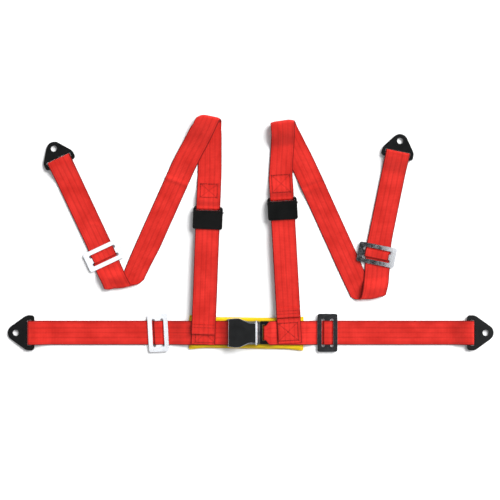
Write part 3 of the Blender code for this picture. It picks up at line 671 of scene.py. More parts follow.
def piece(
    name: str,
    mesh: bpy.types.Mesh,
    finish: Finish,
    body: str,
    matrix: Matrix | None = None,
    stands_for: tuple[str, ...] = (),
    smooth: float = 35.0,
    even: bool = True,
) -> bpy.types.Object:
    """Finish a mesh as a named piece that rides on a body.

    Args:
        name: The piece's name.
        mesh: Its mesh.
        finish: Its surface.
        body: The body it moves with.
        matrix: Where its mesh goes, or nothing if it is there already.
        stands_for: CAD nodes that it replaces.
        smooth: Edges sharper than this many degrees stay sharp.
        even: True to keep wide flat faces flat in their shading.

    Returns:
        The finished object.
    """
    if matrix is not None:
        mesh.transform(matrix)
    mesh.name = name
    mesh.materials.clear()
    mesh.materials.append(finish.make())
    mesh.shade_smooth()
    mesh.set_sharp_from_angle(angle=math.radians(smooth))
    if even:
        flat = bare(mesh)
        flat.modifiers.new("even", "WEIGHTED_NORMAL").keep_sharp = True
        mesh = settle(flat)
        mesh.name = name
    obj = bpy.data.objects.new(name, mesh)
    bpy.context.scene.collection.objects.link(obj)
    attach(obj, body)
    if stands_for:
        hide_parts(*stands_for)
    log.info("%s: %d faces on %s", name, len(mesh.polygons), body)
    return obj


# ------------------------------------------------------------------ webbing


@dataclass(frozen=True)
class Fold:
    """Where a belt turns over: the middle of its turned edge, and how it lies there."""

    middle: tuple[float, float]
    rises: bool              # the outgoing leg lies over the incoming one
    advance: float           # how far the belt travels along the edge inside the curl
    tilt: float              # slope added to the turned edge
    clear: float             # distance from the edge over which the upper leg stays up
    drop: float = 0.070      # distance over which the upper leg comes down
    swell: float = 0.0       # extra arch of the upper leg as it comes down
    curl: float = CURL
    corner: float = 0.0050   # how far the turned edge's corners draw in


class TurnedBelt:
    """The shape of a belt at one fold, as a function of the distance past the fold's edge."""

    def __init__(self, fold: Fold, incoming: tuple, outgoing: tuple) -> None:
        """Work out the fold's directions.

        Args:
            fold: Where and how the belt turns.
            incoming: Two points on the middle of the leg that comes in.
            outgoing: Two points on the middle of the leg that goes out.
        """
        self.fold = fold
        self.middle = Vector(fold.middle)
        self.ahead = (Vector(incoming[1]) - Vector(incoming[0])).normalized()
        self.back = (Vector(outgoing[1]) - Vector(outgoing[0])).normalized()
        self.across = Vector((self.ahead.y, -self.ahead.x))
        self.edge = (self.ahead + self.back).normalized()
        self.out = Vector((self.edge.y, -self.edge.x))
        if self.out.dot(self.ahead) < 0:
            self.out = -self.out
        self.wrap = math.pi * fold.curl
        slope = self.ahead.dot(self.edge) / self.ahead.dot(self.out)
        self.advance = math.copysign(fold.advance, slope)
        self.across_back = self.across - 2 * self.across.dot(self.out) * self.out
        leaves = self.middle + self.edge * (self.wrap * slope + self.advance)
        self.shift_in = (Vector(incoming[0]) - self.middle).dot(self.across)
        self.shift_out = (Vector(outgoing[0]) - leaves).dot(self.across_back)

    def lean(self, distance: float) -> float:
        """How much of the fold's own position is left at a distance from its edge."""
        return 1.0 - ease((distance - LEAN_START) / LEAN_RUN)

    def lift(self, distance: float, upper: bool, settled: bool) -> float:
        """Height of a leg over the floor layer.

        Args:
            distance: Distance from the fold's edge.
            upper: True for the leg on top.
            settled: True where it then lies on another layer.

        Returns:
            The height in metres.
        """
        if not upper:
            return 0.0
        crest = 2 * self.fold.curl
        if distance < self.fold.drop:
            t = distance / self.fold.drop
            arch = self.fold.swell * 16 * (t * (1 - t)) ** 2
            return crest + (PLY - crest) * ease(t) + arch
        if distance < self.fold.clear or settled:
            return PLY
        return PLY * (1.0 - ease((distance - self.fold.clear) / SETTLE_RUN))

    def point(self, past: float, w: float, settled: bool = False) -> Vector:
        """The belt's middle surface near the fold.

        Args:
            past: Distance past the fold's edge, below 0 on the incoming leg.
            w: Distance across from the belt's middle.
            settled: True where the leg then lies on another layer.

        Returns:
            The point.
        """
        along = (past - w * self.across.dot(self.out)) / self.ahead.dot(self.out)
        t = along * self.ahead.dot(self.edge) + w * self.across.dot(self.edge)
        if past <= 0:
            away = -past
            flat = self.middle + self.edge * t + self.out * past
            flat = flat + self.across * self.shift_in * (1 - self.lean(away))
            z = self.lift(away, not self.fold.rises, settled)
        elif past < self.wrap:
            turn = past / self.fold.curl
            away = 0.0
            flat = self.middle + self.edge * (t + self.advance * turn / math.pi)
            flat = flat + self.out * self.fold.curl * math.sin(turn)
            share = (1 - math.cos(turn)) / 2
            z = 2 * self.fold.curl * (share if self.fold.rises else 1 - share)
        else:
            away = past - self.wrap
            flat = self.middle + self.edge * (t + self.advance) - self.out * away
            flat = flat + self.across_back * self.shift_out * (1 - self.lean(away))
            z = self.lift(away, self.fold.rises, settled)
        slope = self.fold.tilt * (flat.x - self.middle.x) * (1 - ease(away / TILT_RUN))
        return Vector((flat.x, flat.y + slope, FLOOR_PLY + z))

    def rows(self, distances: list[float], settled: bool = False) -> list[Row]:
        """The belt's two edges at distances past the fold's edge."""
        return [
            (self.point(d, -WEB_HALF, settled), self.point(d, WEB_HALF, settled)) for d in distances
        ]

    def draw_in(self, point: Vector) -> Vector:
        """Pull the turned edge's corners in, as thick webbing rounds them.

        Args:
            point: A point on the belt.

        Returns:
            The point where it then lies.
        """
        rel = point.xy - self.middle
        length = WEB_HALF / max(abs(self.across.dot(self.edge)), 0.3)
        depth = rel.dot(self.out)
        share = min(abs(rel.dot(self.edge)) / length, 1.3)
        pull = self.fold.corner * max(share - CORNER_START, 0.0) ** 2 / CORNER_SHARE
        pull *= math.exp(-((depth / CORNER_DEPTH) ** 2))
        return Vector((point.x - self.out.x * pull, point.y - self.out.y * pull, point.z))


@dataclass(frozen=True)
class Crease:
    """A soft ridge or hollow across a belt."""

    start: tuple[float, float]
    end: tuple[float, float]
    height: float
    width: float
    leg: str

    def rise(self, point: Vector) -> float:
        """How far the crease lifts a point."""
        one, other = Vector(self.start), Vector(self.end)
        run = other - one
        t = (point.xy - one).dot(run) / run.length_squared
        near = one + run * min(max(t, 0.0), 1.0)
        distance = (point.xy - near).length
        return self.height * math.exp(-((distance / self.width) ** 2))


def ripple(point: Vector) -> float:
    """The small unevenness that every belt follows where it lies, 0 to 0.2 mm."""
    place = Vector((point.x * 28, point.y * 28, 3.7))
    return 0.0001 * (1 + max(min(noise.noise(place) * 1.6, 1.0), -1.0))


@dataclass
class Ribbon:
    """Webbing that follows rows of its two edges, as one closed mesh with a map in metres."""

    name: str
    body: str
    rows: list[Row] = field(default_factory=list)
    legs: list[str] = field(default_factory=list)
    creases: tuple[Crease, ...] = ()
    folds: tuple[TurnedBelt, ...] = ()
    step: float = 0.0030
    columns: int = 25
    length: float = 0.0

    def add(self, rows: list[Row], leg: str = "") -> None:
        """Lengthen the belt, keeping its two edges on their own sides.

        Args:
            rows: The belt's edges at each step, in order.
            leg: A name that creases use to find this part.
        """
        for one, other in rows:
            if self.rows:
                last = self.rows[-1]
                if (one - other).dot(last[0] - last[1]) < 0:
                    one, other = other, one
                if (one - last[0]).length + (other - last[1]).length < 0.00002:
                    continue
            self.rows.append((one, other))
            self.legs.append(leg)

    def fine_rows(self) -> tuple[list[Row], list[str]]:
        """The rows with long steps split, and each row's leg."""
        rows, legs = [self.rows[0]], [self.legs[0]]
        for (one, other), leg in zip(self.rows[1:], self.legs[1:]):
            first, second = rows[-1]
            reach = max((one - first).length, (other - second).length)
            parts = max(1, math.ceil(reach / self.step))
            for k in range(1, parts + 1):
                t = k / parts
                rows.append((first.lerp(one, t), second.lerp(other, t)))
                legs.append(leg)
        return rows, legs

    def across(self) -> list[float]:
        """Places across the belt from -1 to 1, closer together at its edges."""
        inner = spread(-0.965, 0.965, self.columns)
        return [-1.0, -0.992, *inner, 0.992, 1.0]

    def half_thickness(self, share: float) -> float:
        """Half the belt's thickness at a place across it: round edges, shallow grooves."""
        wide = abs(share)
        if wide > 0.999:
            return 0.0
        full = WEB_THICK / 2
        if wide > 0.98:
            return full * 0.68
        groove = max(math.cos(math.pi * WEBBING.ribs * share), 0.0) ** 4
        return full - 0.00005 * groove

    def surface(self) -> tuple[list[list[Vector]], list[list[tuple[float, float]]]]:
        """The belt's middle surface as a grid, and its map in metres across and along."""
        rows, legs = self.fine_rows()
        shares = self.across()
        grid, cloth = [], []
        run_one = run_other = 0.0
        for i, (one, other) in enumerate(rows):
            if i:
                run_one += (one - rows[i - 1][0]).length
                run_other += (other - rows[i - 1][1]).length
            line, marks = [], []
            for share in shares:
                t = (share + 1) / 2
                point = one.lerp(other, t)
                point.z += ripple(point)
                for crease in self.creases:
                    if crease.leg == legs[i]:
                        point.z += crease.rise(point)
                for fold in self.folds:
                    point = fold.draw_in(point)
                line.append(point)
                marks.append((share * WEB_HALF, run_one + (run_other - run_one) * t))
            grid.append(line)
            cloth.append(marks)
        self.length = (run_one + run_other) / 2
        return grid, cloth

    def mesh(self) -> bpy.types.Mesh:
        """Give the middle surface its thickness, edges and ends.

        Returns:
            A closed mesh with the map "Cloth".
        """
        grid, cloth = self.surface()
        shares = self.across()
        last = len(shares) - 1
        work = bmesh.new()
        layer = work.loops.layers.uv.new("Cloth")
        marks: dict = {}
        tops, bottoms = [], []
        for i, line in enumerate(grid):
            ahead = grid[min(i + 1, len(grid) - 1)]
            behind = grid[max(i - 1, 0)]
            top, bottom = [], []
            for j, point in enumerate(line):
                along = ahead[j] - behind[j]
                side = line[min(j + 1, last)] - line[max(j - 1, 0)]
                up = side.cross(along).normalized()
                half = self.half_thickness(shares[j])
                high = work.verts.new(point + up * half)
                marks[high] = cloth[i][j]
                low = high
                if half > 0:
                    low = work.verts.new(point - up * half)
                    marks[low] = cloth[i][j]
                top.append(high)
                bottom.append(low)
            tops.append(top)
            bottoms.append(bottom)
        for i in range(len(grid) - 1):
            for j in range(last):
                work.faces.new((tops[i][j], tops[i][j + 1], tops[i + 1][j + 1], tops[i + 1][j]))
                work.faces.new((
                    bottoms[i][j], bottoms[i + 1][j], bottoms[i + 1][j + 1], bottoms[i][j + 1]))
        for i in (0, len(grid) - 1):
            for j in range(last):
                ring = [tops[i][j], tops[i][j + 1], bottoms[i][j + 1], bottoms[i][j]]
                work.faces.new(list(dict.fromkeys(ring)))
        bmesh.ops.recalc_face_normals(work, faces=work.faces)
        for face in work.faces:
            for loop in face.loops:
                loop[layer].uv = marks[loop.vert]
        made = bpy.data.meshes.new(self.name)
        work.to_mesh(made)
        work.free()
        return made

    def make(
        self, stands_for: tuple[str, ...], rests_on: tuple[str, ...], held: Held
    ) -> bpy.types.Object:
        """Args:
            stands_for: CAD nodes that it replaces.
            rests_on: What it lies on; not used.
            held: How it is held; not used.

        Returns:
            The finished belt.
        """
        mesh = self.mesh()
        obj = piece(
            self.name, mesh, WEBBING, self.body, stands_for=stands_for,
            smooth=70.0, even=False)
        log.info("%s: %.3f m long", self.name, self.length)
        return obj


# ------------------------------------------------------------------ stitching


@dataclass
class ThreadWork:
    """Rows of stitches, laid by Geometry Nodes along lines on a belt's upper side."""

    name: str
    body: str
    finish: Finish = THREAD
    pitch: float = 0.0031
    stitch: float = 0.0026
    radius: float = 0.00046      # real thread is about 0.25 mm; drawn coarser so that it shows
    lines: list[list[Vector]] = field(default_factory=list)

    def on(
        self, carriers: list[bpy.types.Object], place: Place, strokes: list[list[tuple]]
    ) -> None:
        """Drop strokes from above on the pieces that carry them.

        Args:
            carriers: Pieces that the thread lies on.
            place: Where the strokes' own middle is.
            strokes: Lines of (along, across) points, in metres.
        """
        trees = []
        for obj in carriers:
            work = bmesh.new()
            work.from_mesh(obj.data)
            trees.append(BVHTree.FromBMesh(work))
            work.free()
        turned = place.matrix()
        for stroke in strokes:
            line = []
            for (x0, y0), (x1, y1) in zip(stroke, stroke[1:]):
                steps = max(1, round(math.hypot(x1 - x0, y1 - y0) / 0.002))
                for k in range(steps):
                    line.append((x0 + (x1 - x0) * k / steps, y0 + (y1 - y0) * k / steps))
            line.append(stroke[-1])
            laid = []
            for along, across in line:
                spot = turned @ Vector((along, across, 0.0))
                hits = [tree.ray_cast(Vector((spot.x, spot.y, 0.1)), Vector((0, 0, -1)))[0]
                        for tree in trees]
                heights = [hit.z for hit in hits if hit is not None]
                if heights:
                    laid.append(Vector((spot.x, spot.y, max(heights) + self.radius * 0.2)))
            if len(laid) > 1:
                self.lines.append(laid)

    @staticmethod
    def boxed(length: float, width: float) -> list[list[tuple]]:
        """A box with a cross in it, sewn twice round, with its knot at one corner."""
        a, b = length / 2, width / 2
        inner_a, inner_b = a - 0.0011, b - 0.0011
        return [
            [(-a, -b), (a, -b), (a, b), (-a, b), (-a, -b)],
            [(-inner_a, -inner_b), (inner_a, -inner_b), (inner_a, inner_b), (-inner_a, inner_b),
             (-inner_a, -inner_b)],
            [(-a, -b), (a, b)],
            [(-a, b), (a, -b)],
            [(a - 0.001, b - 0.0055), (a - 0.001, b - 0.0005)],
            [(a - 0.0022, b - 0.0050), (a - 0.0022, b - 0.0008)],
        ]

    @staticmethod
    def hem(width: float, apart: float) -> list[list[tuple]]:
        """Two straight rows across a belt."""
        half = width / 2
        return [[(-apart / 2, -half), (-apart / 2, half)], [(apart / 2, -half), (apart / 2, half)]]

    def tree(self) -> bpy.types.NodeTree:
        """The Geometry Nodes tree that turns lines into stitches.

        Returns:
            The tree, with inputs for pitch, length, radius, seed and material.
        """
        known = bpy.data.node_groups.get("sewn_stitches")
        if known is not None:
            return known
        tree = bpy.data.node_groups.new("sewn_stitches", "GeometryNodeTree")
        face = tree.interface
        face.new_socket("Lines", in_out="INPUT", socket_type="NodeSocketGeometry")
        for label in ("Pitch", "Stitch Length", "Thread Radius"):
            face.new_socket(label, in_out="INPUT", socket_type="NodeSocketFloat")
        face.new_socket("Seed", in_out="INPUT", socket_type="NodeSocketInt")
        face.new_socket("Thread", in_out="INPUT", socket_type="NodeSocketMaterial")
        face.new_socket("Stitches", in_out="OUTPUT", socket_type="NodeSocketGeometry")
        given = add_node(tree, "NodeGroupInput").outputs
        path = add_node(tree, "GeometryNodeMeshToCurve", None, {0: given["Lines"]})
        even = add_node(tree, "GeometryNodeResampleCurve", {"mode": "LENGTH"}, {
            "Curve": path.outputs[0], "Length": given["Pitch"]})
        bead = add_node(tree, "GeometryNodeMeshUVSphere", None, {
            "Segments": 6, "Rings": 4, "Radius": 1.0})
        long = add_node(tree, "ShaderNodeMath", {"operation": "MULTIPLY"}, {
            0: given["Stitch Length"], 1: 0.5})
        size = add_node(tree, "ShaderNodeCombineXYZ", None, {
            0: given["Thread Radius"], 1: given["Thread Radius"], 2: long.outputs[0]})
        grown = add_node(tree, "GeometryNodeTransform", None, {
            "Geometry": bead.outputs[0], "Scale": size.outputs[0]})
        tangent = add_node(tree, "GeometryNodeInputTangent")
        turn = add_node(tree, "FunctionNodeAlignRotationToVector", {"axis": "Z"}, {
            "Vector": tangent.outputs[0]})
        uneven = add_node(tree, "FunctionNodeRandomValue", {"data_type": "FLOAT"}, {
            2: 0.88, 3: 1.08, "Seed": given["Seed"]})
        sewn = add_node(tree, "GeometryNodeInstanceOnPoints", None, {
            "Points": even.outputs[0], "Instance": grown.outputs[0],
            "Rotation": turn.outputs[0], "Scale": uneven.outputs[1]})
        plain = add_node(tree, "GeometryNodeRealizeInstances", None, {0: sewn.outputs[0]})
        dressed = add_node(tree, "GeometryNodeSetMaterial", None, {
            "Geometry": plain.outputs[0], "Material": given["Thread"]})
        add_node(tree, "NodeGroupOutput", None, {0: dressed.outputs[0]})
        return tree

    def make(self) -> bpy.types.Object:
        """Lay the stitches and finish them as one plain mesh.

        Returns:
            The finished stitching.
        """
        points = [point for line in self.lines for point in line]
        edges, first = [], 0
        for line in self.lines:
            edges += [(first + k, first + k + 1) for k in range(len(line) - 1)]
            first += len(line)
        guide = bpy.data.meshes.new(self.name)
        guide.from_pydata([tuple(p) for p in points], edges, [])
        obj = bare(guide)
        step = obj.modifiers.new("stitches", "NODES")
        tree = self.tree()
        values = {
            "Pitch": self.pitch, "Stitch Length": self.stitch, "Thread Radius": self.radius,
            "Seed": 11, "Thread": self.finish.make(),
        }
        step.node_group = tree
        for item in tree.interface.items_tree:
            if item.in_out == "INPUT" and item.name in values:
                step[item.identifier] = values[item.name]
        return piece(self.name, settle(obj), self.finish, self.body, smooth=60.0, even=False)


# ------------------------------------------------------------------ end hardware


@dataclass(frozen=True)
class AnchorPlate:
    """Floor anchor: a flat rounded plate with a slot bar, a bolt hole and a raised boss."""

    prefix: str
    place: Place
    bar_width: float = 0.0056
    thick: float = 0.0030
    reach: float = 0.0494
    width: float = 0.0640
    slot_end: float = 0.0126
    slot_width: float = 0.0515
    bolt_reach: float = 0.0324
    bolt_radius: float = 0.00625
    boss_radius: float = 0.0130
    boss_height: float = 0.0004

    def make(self) -> None:
        """Build the plate and lay it on the floor, tipped as the belt's loop holds it."""
        half = self.thick / 2
        outline = rounded([
            (-self.bar_width / 2, -self.width / 2, 0.0060),
            (0.0130, -self.width / 2, 0.0160),
            (self.reach + 0.0080, 0.0, 0.0160),
            (0.0130, self.width / 2, 0.0160),
            (-self.bar_width / 2, self.width / 2, 0.0060),
        ], 12)
        slot = rounded(rectangle(self.bar_width / 2, self.slot_end, self.slot_width / 2, 0.0025), 6)
        shaped = plate([outline, slot], -half, half, 0.0007)
        at = self.bolt_reach
        boss = rod(self.boss_radius, (at, 0, 0), (at, 0, half + self.boss_height), 64)
        hole = rod(self.bolt_radius, (at, 0, -0.01), (at, 0, 0.01), 48)
        shaped = worked(shaped, (Cut.JOIN, boss), (Cut.AWAY, hole))
        sink = math.atan2(self.place.z - half, self.reach)
        turned = self.place.matrix() @ Matrix.Rotation(sink, 4, "Y")
        name = f"{self.prefix}_anchor"
        piece(f"{name}_plate", shaped, POWDER, name, turned, (name,))


@dataclass(frozen=True)
class BeltSlider:
    """Three-bar slider on the belt, and the belt's hump over its middle bar."""

    prefix: str
    place: Place
    long: float = 0.0760
    wide: float = 0.0400
    thick: float = 0.0020
    slot_mid: float = 0.0085
    slot: tuple[float, float] = (0.0060, 0.0560)
    hump_reach: float = 0.0070

    def make(self) -> None:
        """Build the pressed frame and the webbing over its bar."""
        low = FLOOR_PLY + PLY + WEB_THICK / 2 + GAP
        outlines = [rounded(rectangle(-self.wide / 2, self.wide / 2, self.long / 2, 0.0045), 10)]
        wide, long = self.slot
        for side in (-1, 1):
            x = side * self.slot_mid
            opening = rectangle(x - wide / 2, x + wide / 2, long / 2, wide * 0.45)
            outlines.append(rounded(opening, 8))
        name = f"{self.prefix}_slider"
        shaped = plate(outlines, low, low + self.thick, 0.0007)
        piece(f"{name}_frame", shaped, CHROME, name, self.place.matrix(), (name,))
        radius = 0.0013
        foot = low + 0.0002
        crest = low + self.thick + GAP + WEB_THICK / 2
        reach = self.hump_reach
        path = [(-reach, foot)] + arc(-reach + radius, crest - radius, radius, 180, 90, 8)
        path += [(-reach * 0.3, crest + 0.0002), (reach * 0.3, crest + 0.0002)]
        path += arc(reach - radius, crest - radius, radius, 90, 0, 8) + [(reach, foot)]
        hump = Ribbon(f"{name}_webbing", name, step=0.0012)
        hump.add(self.place.rows(path))
        hump.make((f"{name}_hump",), (f"{name}_frame",), Held.FOLDED)


# ------------------------------------------------------------------ belts


ANCHOR_AXIS_Z = 0.0051
LOOP_RUN = 0.0370
LOOP_MID = 0.0044


def loop_round_bar(place: Place) -> list[Row]:
    """A belt's end round an anchor's bar: down off the upper layer, round, and back under.

    Args:
        place: The bar's axis; its heading points away from the belt.

    Returns:
        Rows of the loop.
    """
    path = climb(-LOOP_RUN, TOP_PLY - ANCHOR_AXIS_Z, 0.0, LOOP_MID)
    path += arc(0.0061, 0.0, LOOP_MID, 90, -90, 20) + [(-LOOP_RUN, -LOOP_MID)]
    return place.rows(path)


@dataclass(frozen=True)
class LeftLapBelt:
    """Left lap belt: sewn round the buckle's bar, over the pad's edge, to its floor anchor."""

    anchor_x: float = -0.4314
    slider_x: float = -0.1826
    seam_start: float = -0.1130
    seam_end: float = -0.0620
    bar: tuple[float, float] = (-0.0400, 0.0100)
    bar_loop: float = 0.0030

    def make(self) -> bpy.types.Object:
        """Build the belt, its slider and its anchor.

        Returns:
            The belt.
        """
        x, z = self.bar
        lap = Place(0.0, LAP_Y)
        path = [(self.seam_start, PAD_PLY)] + arc(x, z, self.bar_loop, -90, 90)
        path += climb(self.seam_end, PAD_TOP_PLY, x, z + self.bar_loop)[::-1]
        path += climb(self.seam_start - 0.002, PAD_TOP_PLY, -0.1290, PAD_PLY + 0.0002, 6)
        path += climb(-0.1290, PAD_PLY + 0.0002, -0.1600, TOP_PLY)
        path += [(self.anchor_x + LOOP_RUN + GAP, TOP_PLY)]
        belt = Ribbon("left_lap_belt", Body.LAP_LEFT.value)
        belt.add(lap.rows(path), "lap")
        bar = Place(self.anchor_x, LAP_Y, ANCHOR_AXIS_Z, math.pi)
        belt.add(loop_round_bar(bar), "loop")
        belt.add(lap.rows([(self.slider_x - 0.004, FLOOR_PLY)]), "return")
        obj = belt.make(
            ("left_lap_web", "left_lap_return", "left_lap_anchor_loop", "left_lap_buckle_loop"),
            ("pad_cushion",), Held.LAID)
        AnchorPlate("left_lap", bar, **LAP_PLATE).make()
        BeltSlider("left_lap", Place(self.slider_x, LAP_Y, 0.0, math.radians(183))).make()
        return obj


@dataclass(frozen=True)
class RightLapBelt:
    """Right lap belt: gathered into the tongue's slot, over the pad's edge, to its anchor."""

    anchor_x: float = 0.4342
    slider_x: float = 0.1540
    seam_start: float = 0.0480
    seam_end: float = 0.1040
    bar_x: float = 0.0300
    head_end: float = 0.0400
    head_mid: float = 0.0098
    narrow: float = 0.0145

    def make(self) -> bpy.types.Object:
        """Build the belt, its slider and its anchor.

        Returns:
            The belt.
        """
        z = self.head_mid
        radius = 0.00215 + WEB_THICK / 2
        lap = Place(0.0, LAP_Y)
        path = [
            (self.seam_end, z - radius), (0.0500, z - radius),
            (self.head_end, z - radius, self.narrow)]
        path += [(a, b, self.narrow) for a, b in arc(self.bar_x, z, radius, 270, 90)]
        level = [(x, z + radius) for x in spread(self.bar_x, self.head_end, 9)[1:]]
        rise = climb(self.head_end + 0.0012, z + radius, self.seam_start + 0.0057, PAD_TOP_PLY)
        path += [
            (x, h, WEB_HALF + (self.narrow - WEB_HALF) * ease((self.head_end - x) / 0.0100))
            for x, h in level + rise
        ]
        path += climb(self.seam_end, PAD_TOP_PLY, 0.1125, PAD_PLY + 0.0002, 6)
        path += climb(0.1125, PAD_PLY + 0.0002, 0.1330, TOP_PLY)
        path += [(self.anchor_x - LOOP_RUN - GAP, TOP_PLY)]
        belt = Ribbon("right_lap_belt", Body.LAP_RIGHT.value)
        belt.add(lap.rows(path), "lap")
        bar = Place(self.anchor_x, LAP_Y, ANCHOR_AXIS_Z, 0.0)
        belt.add(loop_round_bar(bar), "loop")
        belt.add(lap.rows([(self.slider_x + 0.004, FLOOR_PLY)]), "return")
        obj = belt.make(
            ("right_lap_web", "right_lap_return", "right_lap_anchor_loop", "right_lap_tongue_loop"),
            ("pad_cushion",), Held.LAID)
        AnchorPlate("right_lap", bar, **LAP_PLATE).make()
        BeltSlider("right_lap", Place(self.slider_x, LAP_Y)).make()
        return obj


@dataclass(frozen=True)
class Adjuster:
    """Shoulder adjuster: moulded body and cover, a loop bar and a sliding locking bar."""

    side: str
    place: Place
    long: float = 0.0460
    wide: float = 0.0590
    floor: float = PLY
    plate_thick: float = 0.0011
    top: float = 0.0116
    channel_half: float = 0.0246
    loop_bar: tuple[float, float] = LOOP_BAR
    loop_radius: float = 0.0020
    lock_bar: tuple[float, float] = LOCK_BAR
    lock_radius: float = 0.0024
    lock_travel: float = 0.0030
    cover_thick: float = 0.0024
    cover_end: float = 0.0140
    cover_rim: float = 0.0032
    panel_depth: float = 0.0007

    def make(self) -> None:
        """Build the body, the cover and the bars."""
        shoulder = f"{self.side}_shoulder"
        matrix = self.place.matrix()
        half, end = self.wide / 2, self.long / 2
        outline = rounded([
            (-half, -end, 0.0040), (half, -end, 0.0040), (half, end, 0.0070), (-half, end, 0.0070)])
        body = plate([outline], self.floor, self.top, 0.0010)
        low = self.floor + self.plate_thick
        side = self.channel_half
        loop_y, loop_z = self.loop_bar
        lock_y, lock_z = self.lock_bar
        track = self.lock_radius + GAP
        run = rounded([
            (lock_y - self.lock_travel - track, lock_z - track, track * 0.98),
            (lock_y + track, lock_z - track, track * 0.98),
            (lock_y + track, lock_z + track, track * 0.98),
            (lock_y - self.lock_travel - track, lock_z + track, track * 0.98),
        ])
        track_tool = plate([run], -0.05, 0.05, 0.0)
        track_tool.transform(Matrix(((0, 0, 1, 0), (1, 0, 0, 0), (0, 1, 0, 0), (0, 0, 0, 1))))
        body = worked(
            body,
            (Cut.AWAY, block((-side, -end - 0.005, low), (side, end + 0.005, 0.03))),
            (Cut.AWAY, block((-side, 0.0080, -0.01), (side, end + 0.005, 0.03))),
            (Cut.AWAY, rod(
                self.loop_radius + GAP, (-0.04, loop_y, loop_z), (0.04, loop_y, loop_z))),
            (Cut.AWAY, track_tool),
        )
        piece(
            f"{self.side}_adjuster_body", body, NYLON, shoulder, matrix,
            (f"{self.side}_adjuster_frame",))
        lid_low = self.top + GAP
        lid = rounded([
            (-half, -end, 0.0040), (half, -end, 0.0040),
            (half, self.cover_end, 0.0022), (-half, self.cover_end, 0.0022)])
        cover = plate([lid], lid_low, lid_low + self.cover_thick, 0.0011)
        rim = self.cover_rim
        panel = rounded([
            (-half + rim, -end + rim, 0.0020), (half - rim, -end + rim, 0.0020),
            (half - rim, self.cover_end - rim, 0.0020),
            (-half + rim, self.cover_end - rim, 0.0020)])
        sunk = lid_low + self.cover_thick - self.panel_depth
        cover = worked(cover, (Cut.AWAY, plate([panel], sunk, 0.03, 0.0)))
        piece(
            f"{self.side}_adjuster_lid", cover, NYLON, shoulder, matrix,
            (f"{self.side}_adjuster_cover",))
        bar = rod(
            self.loop_radius, (-half + 0.001, loop_y, loop_z), (half - 0.001, loop_y, loop_z),
            edge=0.0004)
        piece(
            f"{self.side}_adjuster_web_bar", bar, ZINC, shoulder, matrix,
            (f"{self.side}_adjuster_loop_bar",))
        lock = rod(
            self.lock_radius, (-half - 0.0015, lock_y, lock_z), (half + 0.0015, lock_y, lock_z),
            edge=0.0005)
        piece(
            f"{self.side}_locking_roller", lock, ZINC, f"{self.side}_locking_bar", matrix,
            (f"{self.side}_locking_bar",))


